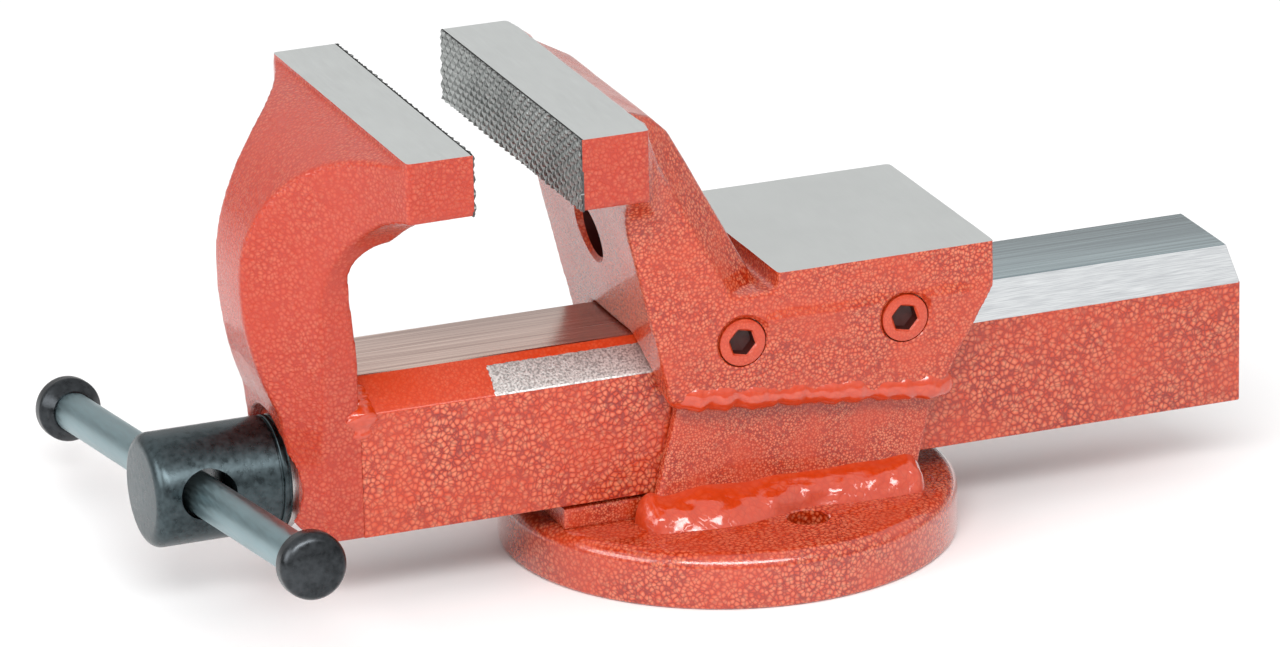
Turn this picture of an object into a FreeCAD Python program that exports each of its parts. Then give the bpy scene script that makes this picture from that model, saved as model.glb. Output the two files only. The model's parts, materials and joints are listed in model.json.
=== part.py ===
import FreeCAD, Part
import math
import os
import re
import Sketcher

# Bench vise. Millimetres, +Z up, +X towards the free end of the slide, -X towards the handle.
# The origin is the centre of the base plate's underside, and Y = 0 is the plane of symmetry.

doc = FreeCAD.newDocument("bench_vise")
sheet = doc.addObject("Spreadsheet::Sheet", "Sizes")

SIZES = [
    # overall
    ("jaw_width", 120.0, "length of each jaw across the vise"),
    ("jaw_gap", 34.7, "opening between the jaws at rest"),
    ("jaw_reach", 68.9, "fixed jaw's face in front of the base's axis"),
    ("throat_depth", 80.2, "jaw tops above the slide's top"),
    # base plate and its bolt holes
    ("base_radius", 72.0, "radius of the base plate"),
    ("base_height", 17.5, "thickness of the base plate"),
    ("base_round", 4.0, "rounding of its upper rim"),
    ("bolt_forward", 8.5, "bolt holes behind the base's axis"),
    ("bolt_spacing", 91.0, "between the two bolt holes"),
    ("bolt_hole_radius", 6.5, "bolt hole for a 12 mm bolt"),
    # slide
    ("slide_length", 294.0, "length of the slide behind the front block"),
    ("slide_width", 53.6, "width of the slide"),
    ("slide_height", 49.0, "height of the slide"),
    ("slide_flat", 33.0, "width of the slide's flat top"),
    ("slide_bevel", 9.3, "height of the bevel beside the flat top"),
    ("slide_roof", 10.0, "roof of the hollow slide"),
    ("guide_gap", 0.25, "clearance of the slide in its guides"),
    # trough under the slide
    ("floor_height", 8.0, "floor of the trough"),
    ("trough_wall", 4.0, "side wall of the trough"),
    ("trough_front", 27.6, "front of the trough's rim, ahead of the base's axis"),
    ("trough_rear", 58.0, "rear of the trough's rim, behind the base's axis"),
    ("trough_front_lean", 10.0, "how much further forward its front foot stands"),
    ("trough_rear_lean", 7.5, "how much further forward its rear foot stands"),
    ("seam_height", 55.0, "height of the seam above the base's axis"),
    ("seam_fall", 8.9, "fall of the seam from front to rear"),
    ("pad_reach", 64.0, "front of the floor pad, ahead of the base's axis"),
    ("pad_width", 50.0, "width of the floor pad"),
    ("pad_drop", 1.0, "floor pad below the floor"),
    # saddle and anvil of the fixed jaw
    ("saddle_wall", 14.2, "side of the saddle beside the slide"),
    ("saddle_taper", 1.5, "saddle's side drawn in above its foot"),
    ("saddle_taper_drop", 17.0, "height of the slightly drawn-in side"),
    ("saddle_foot_inset", 5.0, "saddle's foot drawn in from its side"),
    ("saddle_ridge_drop", 15.7, "ridge along the side, below the anvil"),
    ("saddle_front", 33.5, "saddle's front foot ahead of the base's axis"),
    ("saddle_rear", 56.0, "saddle's rear foot behind the base's axis"),
    ("anvil_cover", 21.9, "anvil above the slide's top"),
    ("anvil_front", 1.5, "anvil's front edge behind the base's axis"),
    ("anvil_rear", 73.5, "anvil's rear edge behind the base's axis"),
    ("anvil_side_drop", 14.5, "height of the anvil's upright rear face"),
    ("recess_depth", 5.5, "recess between the neck and the anvil"),
    ("recess_width", 3.0, "width of the recess"),
    # fixed jaw and neck
    ("fixed_jaw_thickness", 21.7, "thickness of the fixed jaw"),
    ("fixed_jaw_height", 22.7, "height of its gripping face"),
    ("neck_set_back", 19.5, "neck behind the gripping face, under the jaw"),
    ("neck_corner", 8.0, "inner rounding under the fixed jaw"),
    ("jaw_slope_run", 10.7, "sloping band behind the fixed jaw"),
    ("jaw_slope_drop", 5.0, "fall of the sloping band"),
    ("neck_crown_run", 6.5, "rounded crown behind the sloping band"),
    ("neck_crown_drop", 6.5, "fall of the rounded crown"),
    ("fixed_flare_height", 20.3, "height of the flare from neck to jaw"),
    ("fixed_flare_run", 14.0, "flare of the jaw's ends seen from above"),
    ("rear_bevel_run", 13.0, "bevel of the neck's rear edges, along the vise"),
    ("rear_bevel_inset", 11.0, "bevel of the neck's rear edges, across the vise"),
    ("face_hole_radius", 8.5, "hole in the neck's front"),
    ("face_hole_depth", 20.0, "its depth"),
    ("face_hole_drop", 51.0, "its axis below the jaw tops"),
    # moving jaw
    ("moving_jaw_thickness", 20.9, "thickness of the moving jaw"),
    ("moving_jaw_height", 19.3, "height of its gripping face"),
    ("brow_drop", 2.0, "start of the curved back, below the jaw top"),
    ("brow_radius", 45.8, "radius of the curved back above the nose"),
    ("nose_drop", 47.0, "nose, the foremost point, below the jaw top"),
    ("neck_depth", 29.1, "nose in front of the throat"),
    ("chest_radius", 100.5, "radius of the curved back below the nose"),
    ("chest_run", 9.2, "foot of the curved back behind the nose"),
    ("chest_fall", 42.0, "foot of the curved back below the nose"),
    ("block_set_back", 10.6, "front block's front face behind the nose"),
    ("block_toe", 7.0, "slope under the front block"),
    ("throat_set_back", 28.9, "throat behind the gripping face, at its deepest"),
    ("throat_lean", 2.7, "front block's rear face behind the deepest point"),
    ("throat_foot", 7.0, "upright rear face above the slide's top"),
    ("throat_round", 12.0, "rounding at the top of the throat"),
    ("throat_round_drop", 24.7, "lower end of the rounding, below the gripping face"),
    ("throat_roof_drop", 13.7, "throat's roof below the gripping face"),
    ("throat_roof_run", 17.4, "throat's roof behind the gripping face"),
    ("under_jaw_land", 7.0, "flat land under the moving jaw"),
    ("moving_flare_height", 36.0, "height of the flare from neck to jaw"),
    ("fan_tip_half", 11.6, "half width of the narrow front strip"),
    ("fan_radius", 71.0, "radius of the fan seen from above"),
    ("boss_margin", 3.25, "spot face around the spindle, beyond its head"),
    # spindle
    ("spindle_rise", 15.85, "spindle's axis above the slide's underside"),
    ("spindle_radius", 12.0, "outer radius of the screw"),
    ("spindle_reach", 132.0, "screw's rear end behind the base's axis, at rest"),
    ("running_gap", 0.05, "radial clearance of the spindle in its bores"),
    ("head_radius", 17.75, "radius of the spindle's head"),
    ("head_length", 42.5, "length of the head"),
    ("head_round", 4.0, "rounding of the head's front edge"),
    ("head_socket", 14.0, "depth of the screw's seat in the head"),
    ("head_ring_depth", 0.8, "depth of the groove near the head's rear end, and of its rear step"),
    ("head_ring_width", 0.8, "width of the rear step and of the groove"),
    ("head_ring_land", 1.6, "land between the rear step and the groove"),
    ("head_pin_radius", 3.0, "pin through the head"),
    ("washer_thickness", 2.0, "thrust washer"),
    ("seat_set_back", 12.6, "head's rear end behind the nose"),
    ("collar_length", 9.0, "retaining collar"),
    ("collar_wall", 5.5, "wall of the retaining collar"),
    ("end_play", 0.3, "axial play of the spindle"),
    # nut
    ("nut_length", 50.0, "length of the nut"),
    ("nut_wall", 6.0, "side wall of the nut, beside the screw"),
    ("nut_side_gap", 1.8, "clearance of the nut in the slide's hollow"),
    ("nut_crown", 5.5, "nut above the screw"),
    ("nut_bevel", 6.0, "bevel of the nut's upper edges"),
    ("nut_screw_spacing_x", 34.0, "between the nut's screws, along the vise"),
    ("nut_screw_offset", 1.3, "axes of the nut's screws outside the spindle's side"),
    ("nut_screw_radius", 3.0, "shank radius"),
    ("nut_screw_grip", 9.0, "length of the screw inside the nut"),
    ("cap_radius", 5.0, "screw head's radius"),
    ("cap_height", 6.0, "screw head's height"),
    ("cap_socket_flats", 5.0, "screw head's hexagon, across flats"),
    ("cap_recess", 8.0, "depth of the counterbore"),
    ("cap_gap", 0.5, "radial clearance of the counterbore"),
    # guide gibs and their set screws
    ("gib_front", 22.0, "gib's front end ahead of the base's axis"),
    ("gib_rear", 58.0, "gib's rear end behind the base's axis"),
    ("gib_back", 6.2, "gib's back outside the slide's side"),
    ("gib_top", 9.2, "gib's top above the slide's top"),
    ("gib_foot", 1.0, "gib's foot above the bevel's lower edge"),
    ("gib_gap", 0.05, "clearance between gib and bevel"),
    ("gib_slot_gap", 0.3, "clearance of the gib in its slot"),
    ("set_screw_radius", 7.6, "set screw's radius"),
    ("set_screw_front", 10.1, "front set screw ahead of the base's axis"),
    ("set_screw_rear", 43.9, "rear set screw behind the base's axis"),
    ("set_screw_rise", 0.7, "set screws above the slide's top"),
    ("set_screw_flats", 7.6, "hexagon socket, across flats"),
    ("set_screw_socket", 4.5, "depth of the socket"),
    ("set_screw_sink", 0.9, "set screw's end below the saddle's side"),
    ("set_screw_bevel", 0.7, "bevel of the set screw's outer edge"),
    # handle
    ("handle_tilt", 7.3, "handle's tilt at rest, in degrees"),
    ("handle_length", 223.0, "between the knobs' inner faces"),
    ("handle_radius", 6.25, "radius of the bar"),
    ("handle_shift", 6.9, "bar's middle beside the spindle's axis, at rest"),
    ("handle_hole_gap", 1.75, "radial clearance of the bar in the head's cross hole"),
    ("handle_rest_gap", 0.45, "bar above the bottom of the cross hole, at rest"),
    ("handle_hole_back", 26.5, "cross hole in front of the head's rear end"),
    ("knob_radius", 10.3, "radius of a knob"),
    ("knob_length", 11.5, "length of a knob"),
    ("knob_lip", 0.95, "knob's inner edge outside the bar"),
    ("knob_cone", 4.0, "length of the knob's conical back"),
    ("knob_crown", 3.5, "rounding of the knob's outer edge"),
    ("knob_seat", 7.0, "depth of the bar's end in the knob"),
    # welds
    ("weld_leg", 8.0, "leg of the seam beads at the front"),
    ("base_weld_leg", 10.0, "leg of the base beads"),
    ("base_weld_set_back", 2.0, "base beads start behind the trough's front foot"),
    ("slide_weld_leg", 4.5, "leg of the beads at the slide's front end"),
]


def fill_sheet():
    """Write every driving dimension, with its alias and its meaning."""
    for row, (alias, number, meaning) in enumerate(SIZES, start=1):
        sheet.set("A%d" % row, alias)
        sheet.set("B%d" % row, str(number))
        sheet.set("C%d" % row, meaning)
        sheet.setAlias("B%d" % row, alias)
    doc.recompute()


fill_sheet()
ALIASES = {alias for alias, number, meaning in SIZES}

# Places that several pieces share, as expressions in the sheet's aliases.
SLIDE_HALF = "(slide_width / 2)"
FLOOR_TOP = "(base_height + floor_height)"
SLIDE_BOTTOM = f"({FLOOR_TOP} + guide_gap)"
SLIDE_TOP = f"({SLIDE_BOTTOM} + slide_height)"
BEVEL_FOOT = f"({SLIDE_TOP} - slide_bevel)"
JAW_TOP = f"({SLIDE_TOP} + throat_depth)"
ANVIL_TOP = f"({SLIDE_TOP} + anvil_cover)"
AXIS_Z = f"({SLIDE_BOTTOM} + spindle_rise)"
JAW_HALF = "(jaw_width / 2)"
FIXED_FACE = "(-jaw_reach)"
FIXED_JAW_FOOT = f"({JAW_TOP} - fixed_jaw_height)"
MOVING_FACE = "(-jaw_reach - jaw_gap)"
MOVING_JAW_FOOT = f"({JAW_TOP} - moving_jaw_height)"
THROAT_X = f"({MOVING_FACE} - throat_set_back)"
SLIDE_FRONT = f"({THROAT_X} + throat_lean)"
NOSE_X = f"({THROAT_X} - neck_depth)"
NOSE_Z = f"({JAW_TOP} - nose_drop)"
SEAT_X = f"({NOSE_X} + seat_set_back)"
NUT_HALF = "(spindle_radius + nut_wall)"
COLLAR_RADIUS = "(spindle_radius + collar_wall)"
TROUGH_HALF = f"({SLIDE_HALF} + guide_gap + trough_wall)"
SADDLE_HALF = f"({SLIDE_HALF} + saddle_wall)"
RIDGE_Z = f"({ANVIL_TOP} - saddle_ridge_drop)"
GIB_BACK = f"({SLIDE_HALF} + gib_back)"
SET_SCREW_Z = f"({SLIDE_TOP} + set_screw_rise)"
SEAM_SLOPE = "(seam_fall / (trough_front + trough_rear))"
REAR_CROWN_X = f"({FIXED_FACE} + fixed_jaw_thickness + jaw_slope_run + neck_crown_run)"
REAR_CROWN_Z = f"({JAW_TOP} - jaw_slope_drop - neck_crown_drop)"
REAR_FOOT_X = "(anvil_front - recess_width)"
REAR_FOOT_Z = f"({ANVIL_TOP} - recess_depth)"
BEYOND = "(jaw_width + slide_length)"


def bind(text):
    """The expression with each alias read from the sheet."""
    return re.sub(r"[a-z_]+", lambda word: "Sizes." + word[0] if word[0] in ALIASES else word[0], str(text))


def value(text):
    """The expression's number now."""
    return float(sheet.evalExpression(bind(text)))


def seam_z(place):
    """Height of the sloping seam between trough and saddle at a place along the vise."""
    return f"(seam_height - {SEAM_SLOPE} * ({place}))"


# Sketching helpers

def new_body(name):
    body = doc.addObject("PartDesign::Body", name)
    body.Label = name
    body.AllowCompound = True
    return body


def new_sketch(body, name, plane, offset=None):
    """A sketch on one of the body's origin planes, moved along the plane's normal by offset."""
    sketch = body.newObject("Sketcher::SketchObject", name)
    support = [item for item in body.Origin.OriginFeatures if item.Role == plane][0]
    sketch.AttachmentSupport = [(support, "")]
    sketch.MapMode = "FlatFace"
    if offset:
        sketch.setExpression("AttachmentOffset.Base.z", bind(offset))
    return sketch


def hold(sketch, kind, *where):
    """A constraint whose last argument is an expression."""
    number = sketch.addConstraint(Sketcher.Constraint(kind, *where[:-1], value(where[-1])))
    sketch.setExpression("Constraints[%d]" % number, bind(where[-1]))


def arc_between(start, end, radius, side):
    """Arc from start to end about a centre on the given side of the way there."""
    chord = end - start
    rise = math.sqrt(max(radius ** 2 - (chord.Length / 2) ** 2, 0))
    left = FreeCAD.Vector(-chord.y, chord.x, 0).normalize()
    centre = (start + end) / 2 + left * (rise if side == "left" else -rise)
    circle = Part.Circle(centre, FreeCAD.Vector(0, 0, 1), radius)
    first, last = (start, end) if side == "left" else (end, start)
    return Part.ArcOfCircle(circle, circle.parameter(first), circle.parameter(last))


def outline(sketch, corners):
    """Closed outline through the corners (x, y). A corner may add a radius and the side on which
    the centre lies, and then the edge that leaves it is an arc."""
    points = [FreeCAD.Vector(value(corner[0]), value(corner[1]), 0) for corner in corners]
    ends = []
    for index, corner in enumerate(corners):
        start, end = points[index], points[(index + 1) % len(points)]
        if len(corner) == 4:
            geometry = sketch.addGeometry(arc_between(start, end, value(corner[2]), corner[3]))
            ends.append((geometry, 1, 2) if corner[3] == "left" else (geometry, 2, 1))
        else:
            ends.append((sketch.addGeometry(Part.LineSegment(start, end)), 1, 2))
    for index, (geometry, first, last) in enumerate(ends):
        following = ends[(index + 1) % len(ends)]
        sketch.addConstraint(Sketcher.Constraint("Coincident", geometry, last, following[0], following[1]))
        hold(sketch, "DistanceX", -1, 1, geometry, first, corners[index][0])
        hold(sketch, "DistanceY", -1, 1, geometry, first, corners[index][1])
        if len(corners[index]) == 4:
            hold(sketch, "Radius", geometry, corners[index][2])


def both_sides(sketch, corners):
    """The outline and its mirror image across the plane of symmetry, x of the sketch being Y."""
    outline(sketch, corners)
    mirrored = []
    for index in reversed(range(len(corners))):
        arc = corners[index - 1][2:]
        mirrored.append((f"-({corners[index][0]})", corners[index][1], *arc))
    outline(sketch, mirrored)


def side_y(sign, y):
    """The distance y on the side of the plane of symmetry that sign gives."""
    return y if sign > 0 else f"-({y})"


def circle(sketch, x, y, radius):
    place = FreeCAD.Vector(value(x), value(y), 0)
    geometry = sketch.addGeometry(Part.Circle(place, FreeCAD.Vector(0, 0, 1), value(radius)))
    hold(sketch, "DistanceX", -1, 1, geometry, 3, x)
    hold(sketch, "DistanceY", -1, 1, geometry, 3, y)
    hold(sketch, "Radius", geometry, radius)


def feature(body, kind, sketch, length, symmetric=False, reverse=False):
    """A Pad or a Pocket of the sketch."""
    item = body.newObject("PartDesign::" + kind, sketch.Name + kind)
    item.Profile = sketch
    item.Type = "Length"
    item.setExpression("Length", bind(length))
    item.SideType = "Symmetric" if symmetric else "One side"
    item.Reversed = reverse
    sketch.Visibility = False
    return item


def pad(body, sketch, length, symmetric=False, reverse=False):
    return feature(body, "Pad", sketch, length, symmetric, reverse)


def pocket(body, sketch, length=BEYOND, symmetric=False, reverse=False):
    """A Pocket, which has to take material away."""
    doc.recompute()
    before = body.Shape.Volume
    must_remove(body, before, feature(body, "Pocket", sketch, length, symmetric, reverse))


def must_remove(body, before, item):
    """Stop if the new cut leaves the body's volume as it was before."""
    doc.recompute()
    if body.Shape.Volume >= before:
        raise RuntimeError(item.Name + " removes nothing")


def revolve(body, sketch, axis):
    item = body.newObject("PartDesign::Revolution", sketch.Name + "Turned")
    item.Profile = sketch
    item.ReferenceAxis = (sketch, [axis])
    item.Angle = 360
    return item


def place(item, x="0", y="0", z="0", axis=(1, 0, 0), angle="0"):
    """Placement of a sub-part: a turn about axis by angle degrees, then a move."""
    turn = FreeCAD.Rotation(FreeCAD.Vector(*axis), value(angle))
    item.Placement = FreeCAD.Placement(FreeCAD.Vector(value(x), value(y), value(z)), turn)
    for name, text in (("x", x), ("y", y), ("z", z)):
        item.setExpression("Placement.Base." + name, bind(text))
    if angle != "0":
        item.setExpression("Placement.Rotation.Angle", bind(angle))


def primitive(kind, name, **sizes):
    item = doc.addObject("Part::" + kind, name)
    for size, text in sizes.items():
        item.setExpression(size, bind(text))
    return item


# Base and trough

def make_base_plate():
    body = new_body("base_plate")
    section = new_sketch(body, "base_section", "XZ_Plane")
    rim = "base_radius - base_round"
    outline(section, [("0", "0"), ("base_radius", "0"),
                      ("base_radius", "base_height - base_round", "base_round", "left"),
                      (rim, "base_height"), ("0", "base_height")])
    revolve(body, section, "V_Axis")
    bolts = new_sketch(body, "base_bolts", "XY_Plane")
    for side in ("", "-"):
        circle(bolts, "bolt_forward", side + "bolt_spacing / 2", "bolt_hole_radius")
    pocket(body, bolts, symmetric=True)
    nut_screw_holes(body, "base_screw_holes", "nut_screw_radius + running_gap")
    caps = new_sketch(body, "base_counterbores", "XY_Plane")
    for x, y in nut_screw_places():
        circle(caps, x, y, "cap_radius + cap_gap")
    pocket(body, caps, "cap_recess", reverse=True)


def nut_screw_places():
    across = "(spindle_radius + nut_screw_offset)"
    return [(x + "nut_screw_spacing_x / 2", y + across) for x in ("", "-") for y in ("", "-")]


def nut_screw_holes(body, name, radius, depth=BEYOND):
    holes = new_sketch(body, name, "XY_Plane")
    for x, y in nut_screw_places():
        circle(holes, x, y, radius)
    pocket(body, holes, depth, reverse=True)


def guide_outline(gap):
    """Section of the slide, grown by the gap and open downwards past the trough's floor."""
    half = f"{SLIDE_HALF} + {gap}"
    flat = f"slide_flat / 2 + {gap} / 2"
    foot = f"{BEVEL_FOOT} + {gap} / 2"
    top = f"{SLIDE_TOP} + {gap}"
    return [(f"-({half})", FLOOR_TOP), (half, FLOOR_TOP), (half, foot), (flat, top),
            (f"-({flat})", top), (f"-({half})", foot)]


def make_lower_housing():
    body = new_body("lower_housing")
    side = new_sketch(body, "trough_side", "XZ_Plane")
    outline(side, [("-trough_front - trough_front_lean", "base_height"),
                   ("trough_rear - trough_rear_lean", "base_height"),
                   ("trough_rear", seam_z("trough_rear")), ("-trough_front", seam_z("-trough_front"))])
    pad(body, side, f"{TROUGH_HALF} * 2", symmetric=True)
    channel = new_sketch(body, "trough_channel", "YZ_Plane")
    outline(channel, guide_outline("guide_gap"))
    pocket(body, channel, symmetric=True)
    floor = new_sketch(body, "floor_pad", "XZ_Plane")
    outline(floor, [("-pad_reach", "base_height"), ("0", "base_height"),
                    ("0", f"{FLOOR_TOP} - pad_drop"), ("-pad_reach", f"{FLOOR_TOP} - pad_drop")])
    pad(body, floor, "pad_width", symmetric=True)
    nut_screw_holes(body, "floor_screw_holes", "nut_screw_radius + running_gap")


# Fixed jaw

def make_fixed_jaw():
    body = new_body("fixed_jaw")
    back = f"{FIXED_FACE} + fixed_jaw_thickness"
    neck = f"{FIXED_FACE} + neck_set_back"
    side = new_sketch(body, "fixed_side", "XZ_Plane")
    outline(side, [
        (FIXED_FACE, JAW_TOP), (FIXED_FACE, FIXED_JAW_FOOT),
        (f"{neck} - neck_corner", FIXED_JAW_FOOT, "neck_corner", "right"),
        (neck, f"{FIXED_JAW_FOOT} - neck_corner"),
        ("-saddle_front", seam_z("-saddle_front")), ("saddle_rear", seam_z("saddle_rear")),
        ("anvil_rear", f"{ANVIL_TOP} - anvil_side_drop"), ("anvil_rear", ANVIL_TOP),
        ("anvil_front", ANVIL_TOP), ("anvil_front", REAR_FOOT_Z), (REAR_FOOT_X, REAR_FOOT_Z),
        (REAR_CROWN_X, REAR_CROWN_Z), (f"{back} + jaw_slope_run", f"{JAW_TOP} - jaw_slope_drop"),
        (back, JAW_TOP)])
    pad(body, side, "jaw_width", symmetric=True)

    flare_foot = f"{FIXED_JAW_FOOT} - fixed_flare_height"
    flare_run = f"({JAW_HALF} - {SADDLE_HALF})"
    flare_radius = f"({flare_run}^2 + fixed_flare_height^2) / (2 * {flare_run})"
    waist = f"{SADDLE_HALF} - saddle_taper"
    sides = new_sketch(body, "fixed_sides", "YZ_Plane")
    both_sides(sides, [
        (f"{JAW_HALF} * 2", FIXED_JAW_FOOT), (JAW_HALF, FIXED_JAW_FOOT, flare_radius, "left"),
        (SADDLE_HALF, flare_foot), (SADDLE_HALF, RIDGE_Z), (waist, f"{RIDGE_Z} - saddle_taper_drop"),
        (f"{SADDLE_HALF} - saddle_foot_inset", "base_height"), (f"{JAW_HALF} * 2", "base_height")])
    pocket(body, sides, symmetric=True)

    plan = new_sketch(body, "fixed_plan", "XY_Plane", FLOOR_TOP)
    plan_radius = f"(fixed_flare_run^2 + {flare_run}^2) / (2 * fixed_flare_run)"
    for sign in (1, -1):
        outline(plan, [
            (back, side_y(sign, JAW_HALF), plan_radius, "left" if sign > 0 else "right"),
            (f"{back} + fixed_flare_run", side_y(sign, SADDLE_HALF)),
            ("anvil_rear * 2", side_y(sign, SADDLE_HALF)),
            ("anvil_rear * 2", side_y(sign, f"{JAW_HALF} * 2")), (back, side_y(sign, f"{JAW_HALF} * 2"))])
    pocket(body, plan, reverse=True)

    bevel_rear_edges(body)
    channel = new_sketch(body, "saddle_channel", "YZ_Plane")
    outline(channel, guide_outline("guide_gap"))
    pocket(body, channel, symmetric=True)

    slots = new_sketch(body, "gib_slots", "YZ_Plane", "-gib_front - gib_slot_gap")
    both_sides(slots, [
        ("slide_flat / 2", SLIDE_TOP), ("slide_flat / 2", f"{BEVEL_FOOT} + gib_foot - gib_slot_gap"),
        (f"{GIB_BACK} + gib_slot_gap", f"{BEVEL_FOOT} + gib_foot - gib_slot_gap"),
        (f"{GIB_BACK} + gib_slot_gap", f"{SLIDE_TOP} + gib_top + gib_slot_gap"),
        (f"{GIB_BACK} - gib_top - gib_slot_gap", f"{SLIDE_TOP} + gib_top + gib_slot_gap")])
    pocket(body, slots, "gib_front + gib_rear + 2 * gib_slot_gap", reverse=True)

    screws = new_sketch(body, "set_screw_holes", "XZ_Plane")
    for x in set_screw_places():
        circle(screws, x, SET_SCREW_Z, "set_screw_radius + running_gap")
    pocket(body, screws, f"{SADDLE_HALF} * 3", symmetric=True)

    hole = new_sketch(body, "face_hole", "YZ_Plane", neck)
    circle(hole, "0", f"{JAW_TOP} - face_hole_drop", "face_hole_radius")
    pocket(body, hole, "face_hole_depth + neck_corner", reverse=True)


def bevel_rear_edges(body):
    """Cut a broad bevel along each rear edge of the neck, up to the rear edge of the jaw's top."""
    edges = new_sketch(body, "rear_bevels", "XY_Plane", REAR_FOOT_Z)
    for sign in (1, -1):
        outline(edges, [
            (f"{REAR_FOOT_X} - rear_bevel_run", side_y(sign, SADDLE_HALF)),
            (f"{REAR_FOOT_X} + recess_width", side_y(sign, f"{SADDLE_HALF} * 2")),
            (REAR_FOOT_X, side_y(sign, f"{SADDLE_HALF} - rear_bevel_inset"))])
    doc.recompute()
    before = body.Shape.Volume
    run = f"{FIXED_FACE} + fixed_jaw_thickness - {REAR_FOOT_X} + rear_bevel_run"
    rise = f"{JAW_TOP} - {REAR_FOOT_Z}"
    bevel = feature(body, "Pocket", edges, rise)
    bevel.UseCustomVector = True
    bevel.AlongSketchNormal = True
    bevel.Direction = FreeCAD.Vector(value(run), 0, value(rise))
    bevel.setExpression("Direction.x", bind(run))
    bevel.setExpression("Direction.z", bind(rise))
    must_remove(body, before, bevel)


def set_screw_places():
    return ["-set_screw_front", "set_screw_rear"]


# Guide gibs and set screws. Right is -Y, seen from the handle.

def make_gib(name, sign):
    body = new_body(name)
    slope = f"((({SLIDE_HALF}) - slide_flat / 2) / slide_bevel)"
    reach = f"(gib_gap * sqrt(1 + {slope}^2))"
    low = f"{BEVEL_FOOT} + gib_foot"
    high = f"{SLIDE_TOP} - gib_foot / 2"
    bevel_low = f"{SLIDE_HALF} - gib_foot * {slope} + {reach}"
    bevel_high = f"slide_flat / 2 + gib_foot / 2 * {slope} + {reach}"
    top = f"{SLIDE_TOP} + gib_top"
    section = new_sketch(body, name + "_section", "YZ_Plane", "-gib_front")
    outline(section, [
        (side_y(sign, bevel_high), high), (side_y(sign, bevel_low), low), (side_y(sign, GIB_BACK), low),
        (side_y(sign, GIB_BACK), top), (side_y(sign, f"{GIB_BACK} - gib_top"), top)])
    pad(body, section, "gib_front + gib_rear")


def socket_screw(name, steps, flats, socket):
    """Screw along +Z, its inner end at 0, of (radius, foot, height) steps, with a hexagon socket."""
    parts = []
    for index, (radius, foot, height, tip) in enumerate(steps):
        if tip:
            step = primitive("Cone", f"{name}_step_{index}", Radius1=radius, Radius2=tip, Height=height)
        else:
            step = primitive("Cylinder", f"{name}_step_{index}", Radius=radius, Height=height)
        place(step, z=foot)
        parts.append(step)
    fused = parts[0]
    if len(parts) > 1:
        fused = doc.addObject("Part::MultiFuse", name + "_blank")
        fused.Shapes = parts
        fused.Refine = True
    radius, foot, height, tip = steps[-1]
    hexagon = primitive("Prism", name + "_hexagon", Circumradius=f"{flats} / 2 / cos(30)", Height=f"{socket} * 2")
    hexagon.Polygon = 6
    place(hexagon, z=f"{foot} + {height} - {socket}")
    screw = doc.addObject("Part::Cut", name)
    screw.Base = fused
    screw.Tool = hexagon
    return screw


def make_set_screws(name, sign):
    shank = "(saddle_wall - gib_back - set_screw_sink - set_screw_bevel)"
    screws = []
    for index, x in enumerate(set_screw_places()):
        screw = socket_screw(f"{name}_{index}", [
            ("set_screw_radius", "0", shank, None),
            ("set_screw_radius", shank, "set_screw_bevel", "set_screw_radius - set_screw_bevel")],
            "set_screw_flats", "set_screw_socket")
        place(screw, x, side_y(sign, GIB_BACK), SET_SCREW_Z, angle="-90" if sign > 0 else "90")
        screws.append(screw)
    group(name, screws)


def group(name, members):
    """One node of several separate solids."""
    compound = doc.addObject("Part::Compound", name)
    compound.Label = name
    compound.Links = members


# Moving jaw and slide

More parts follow.
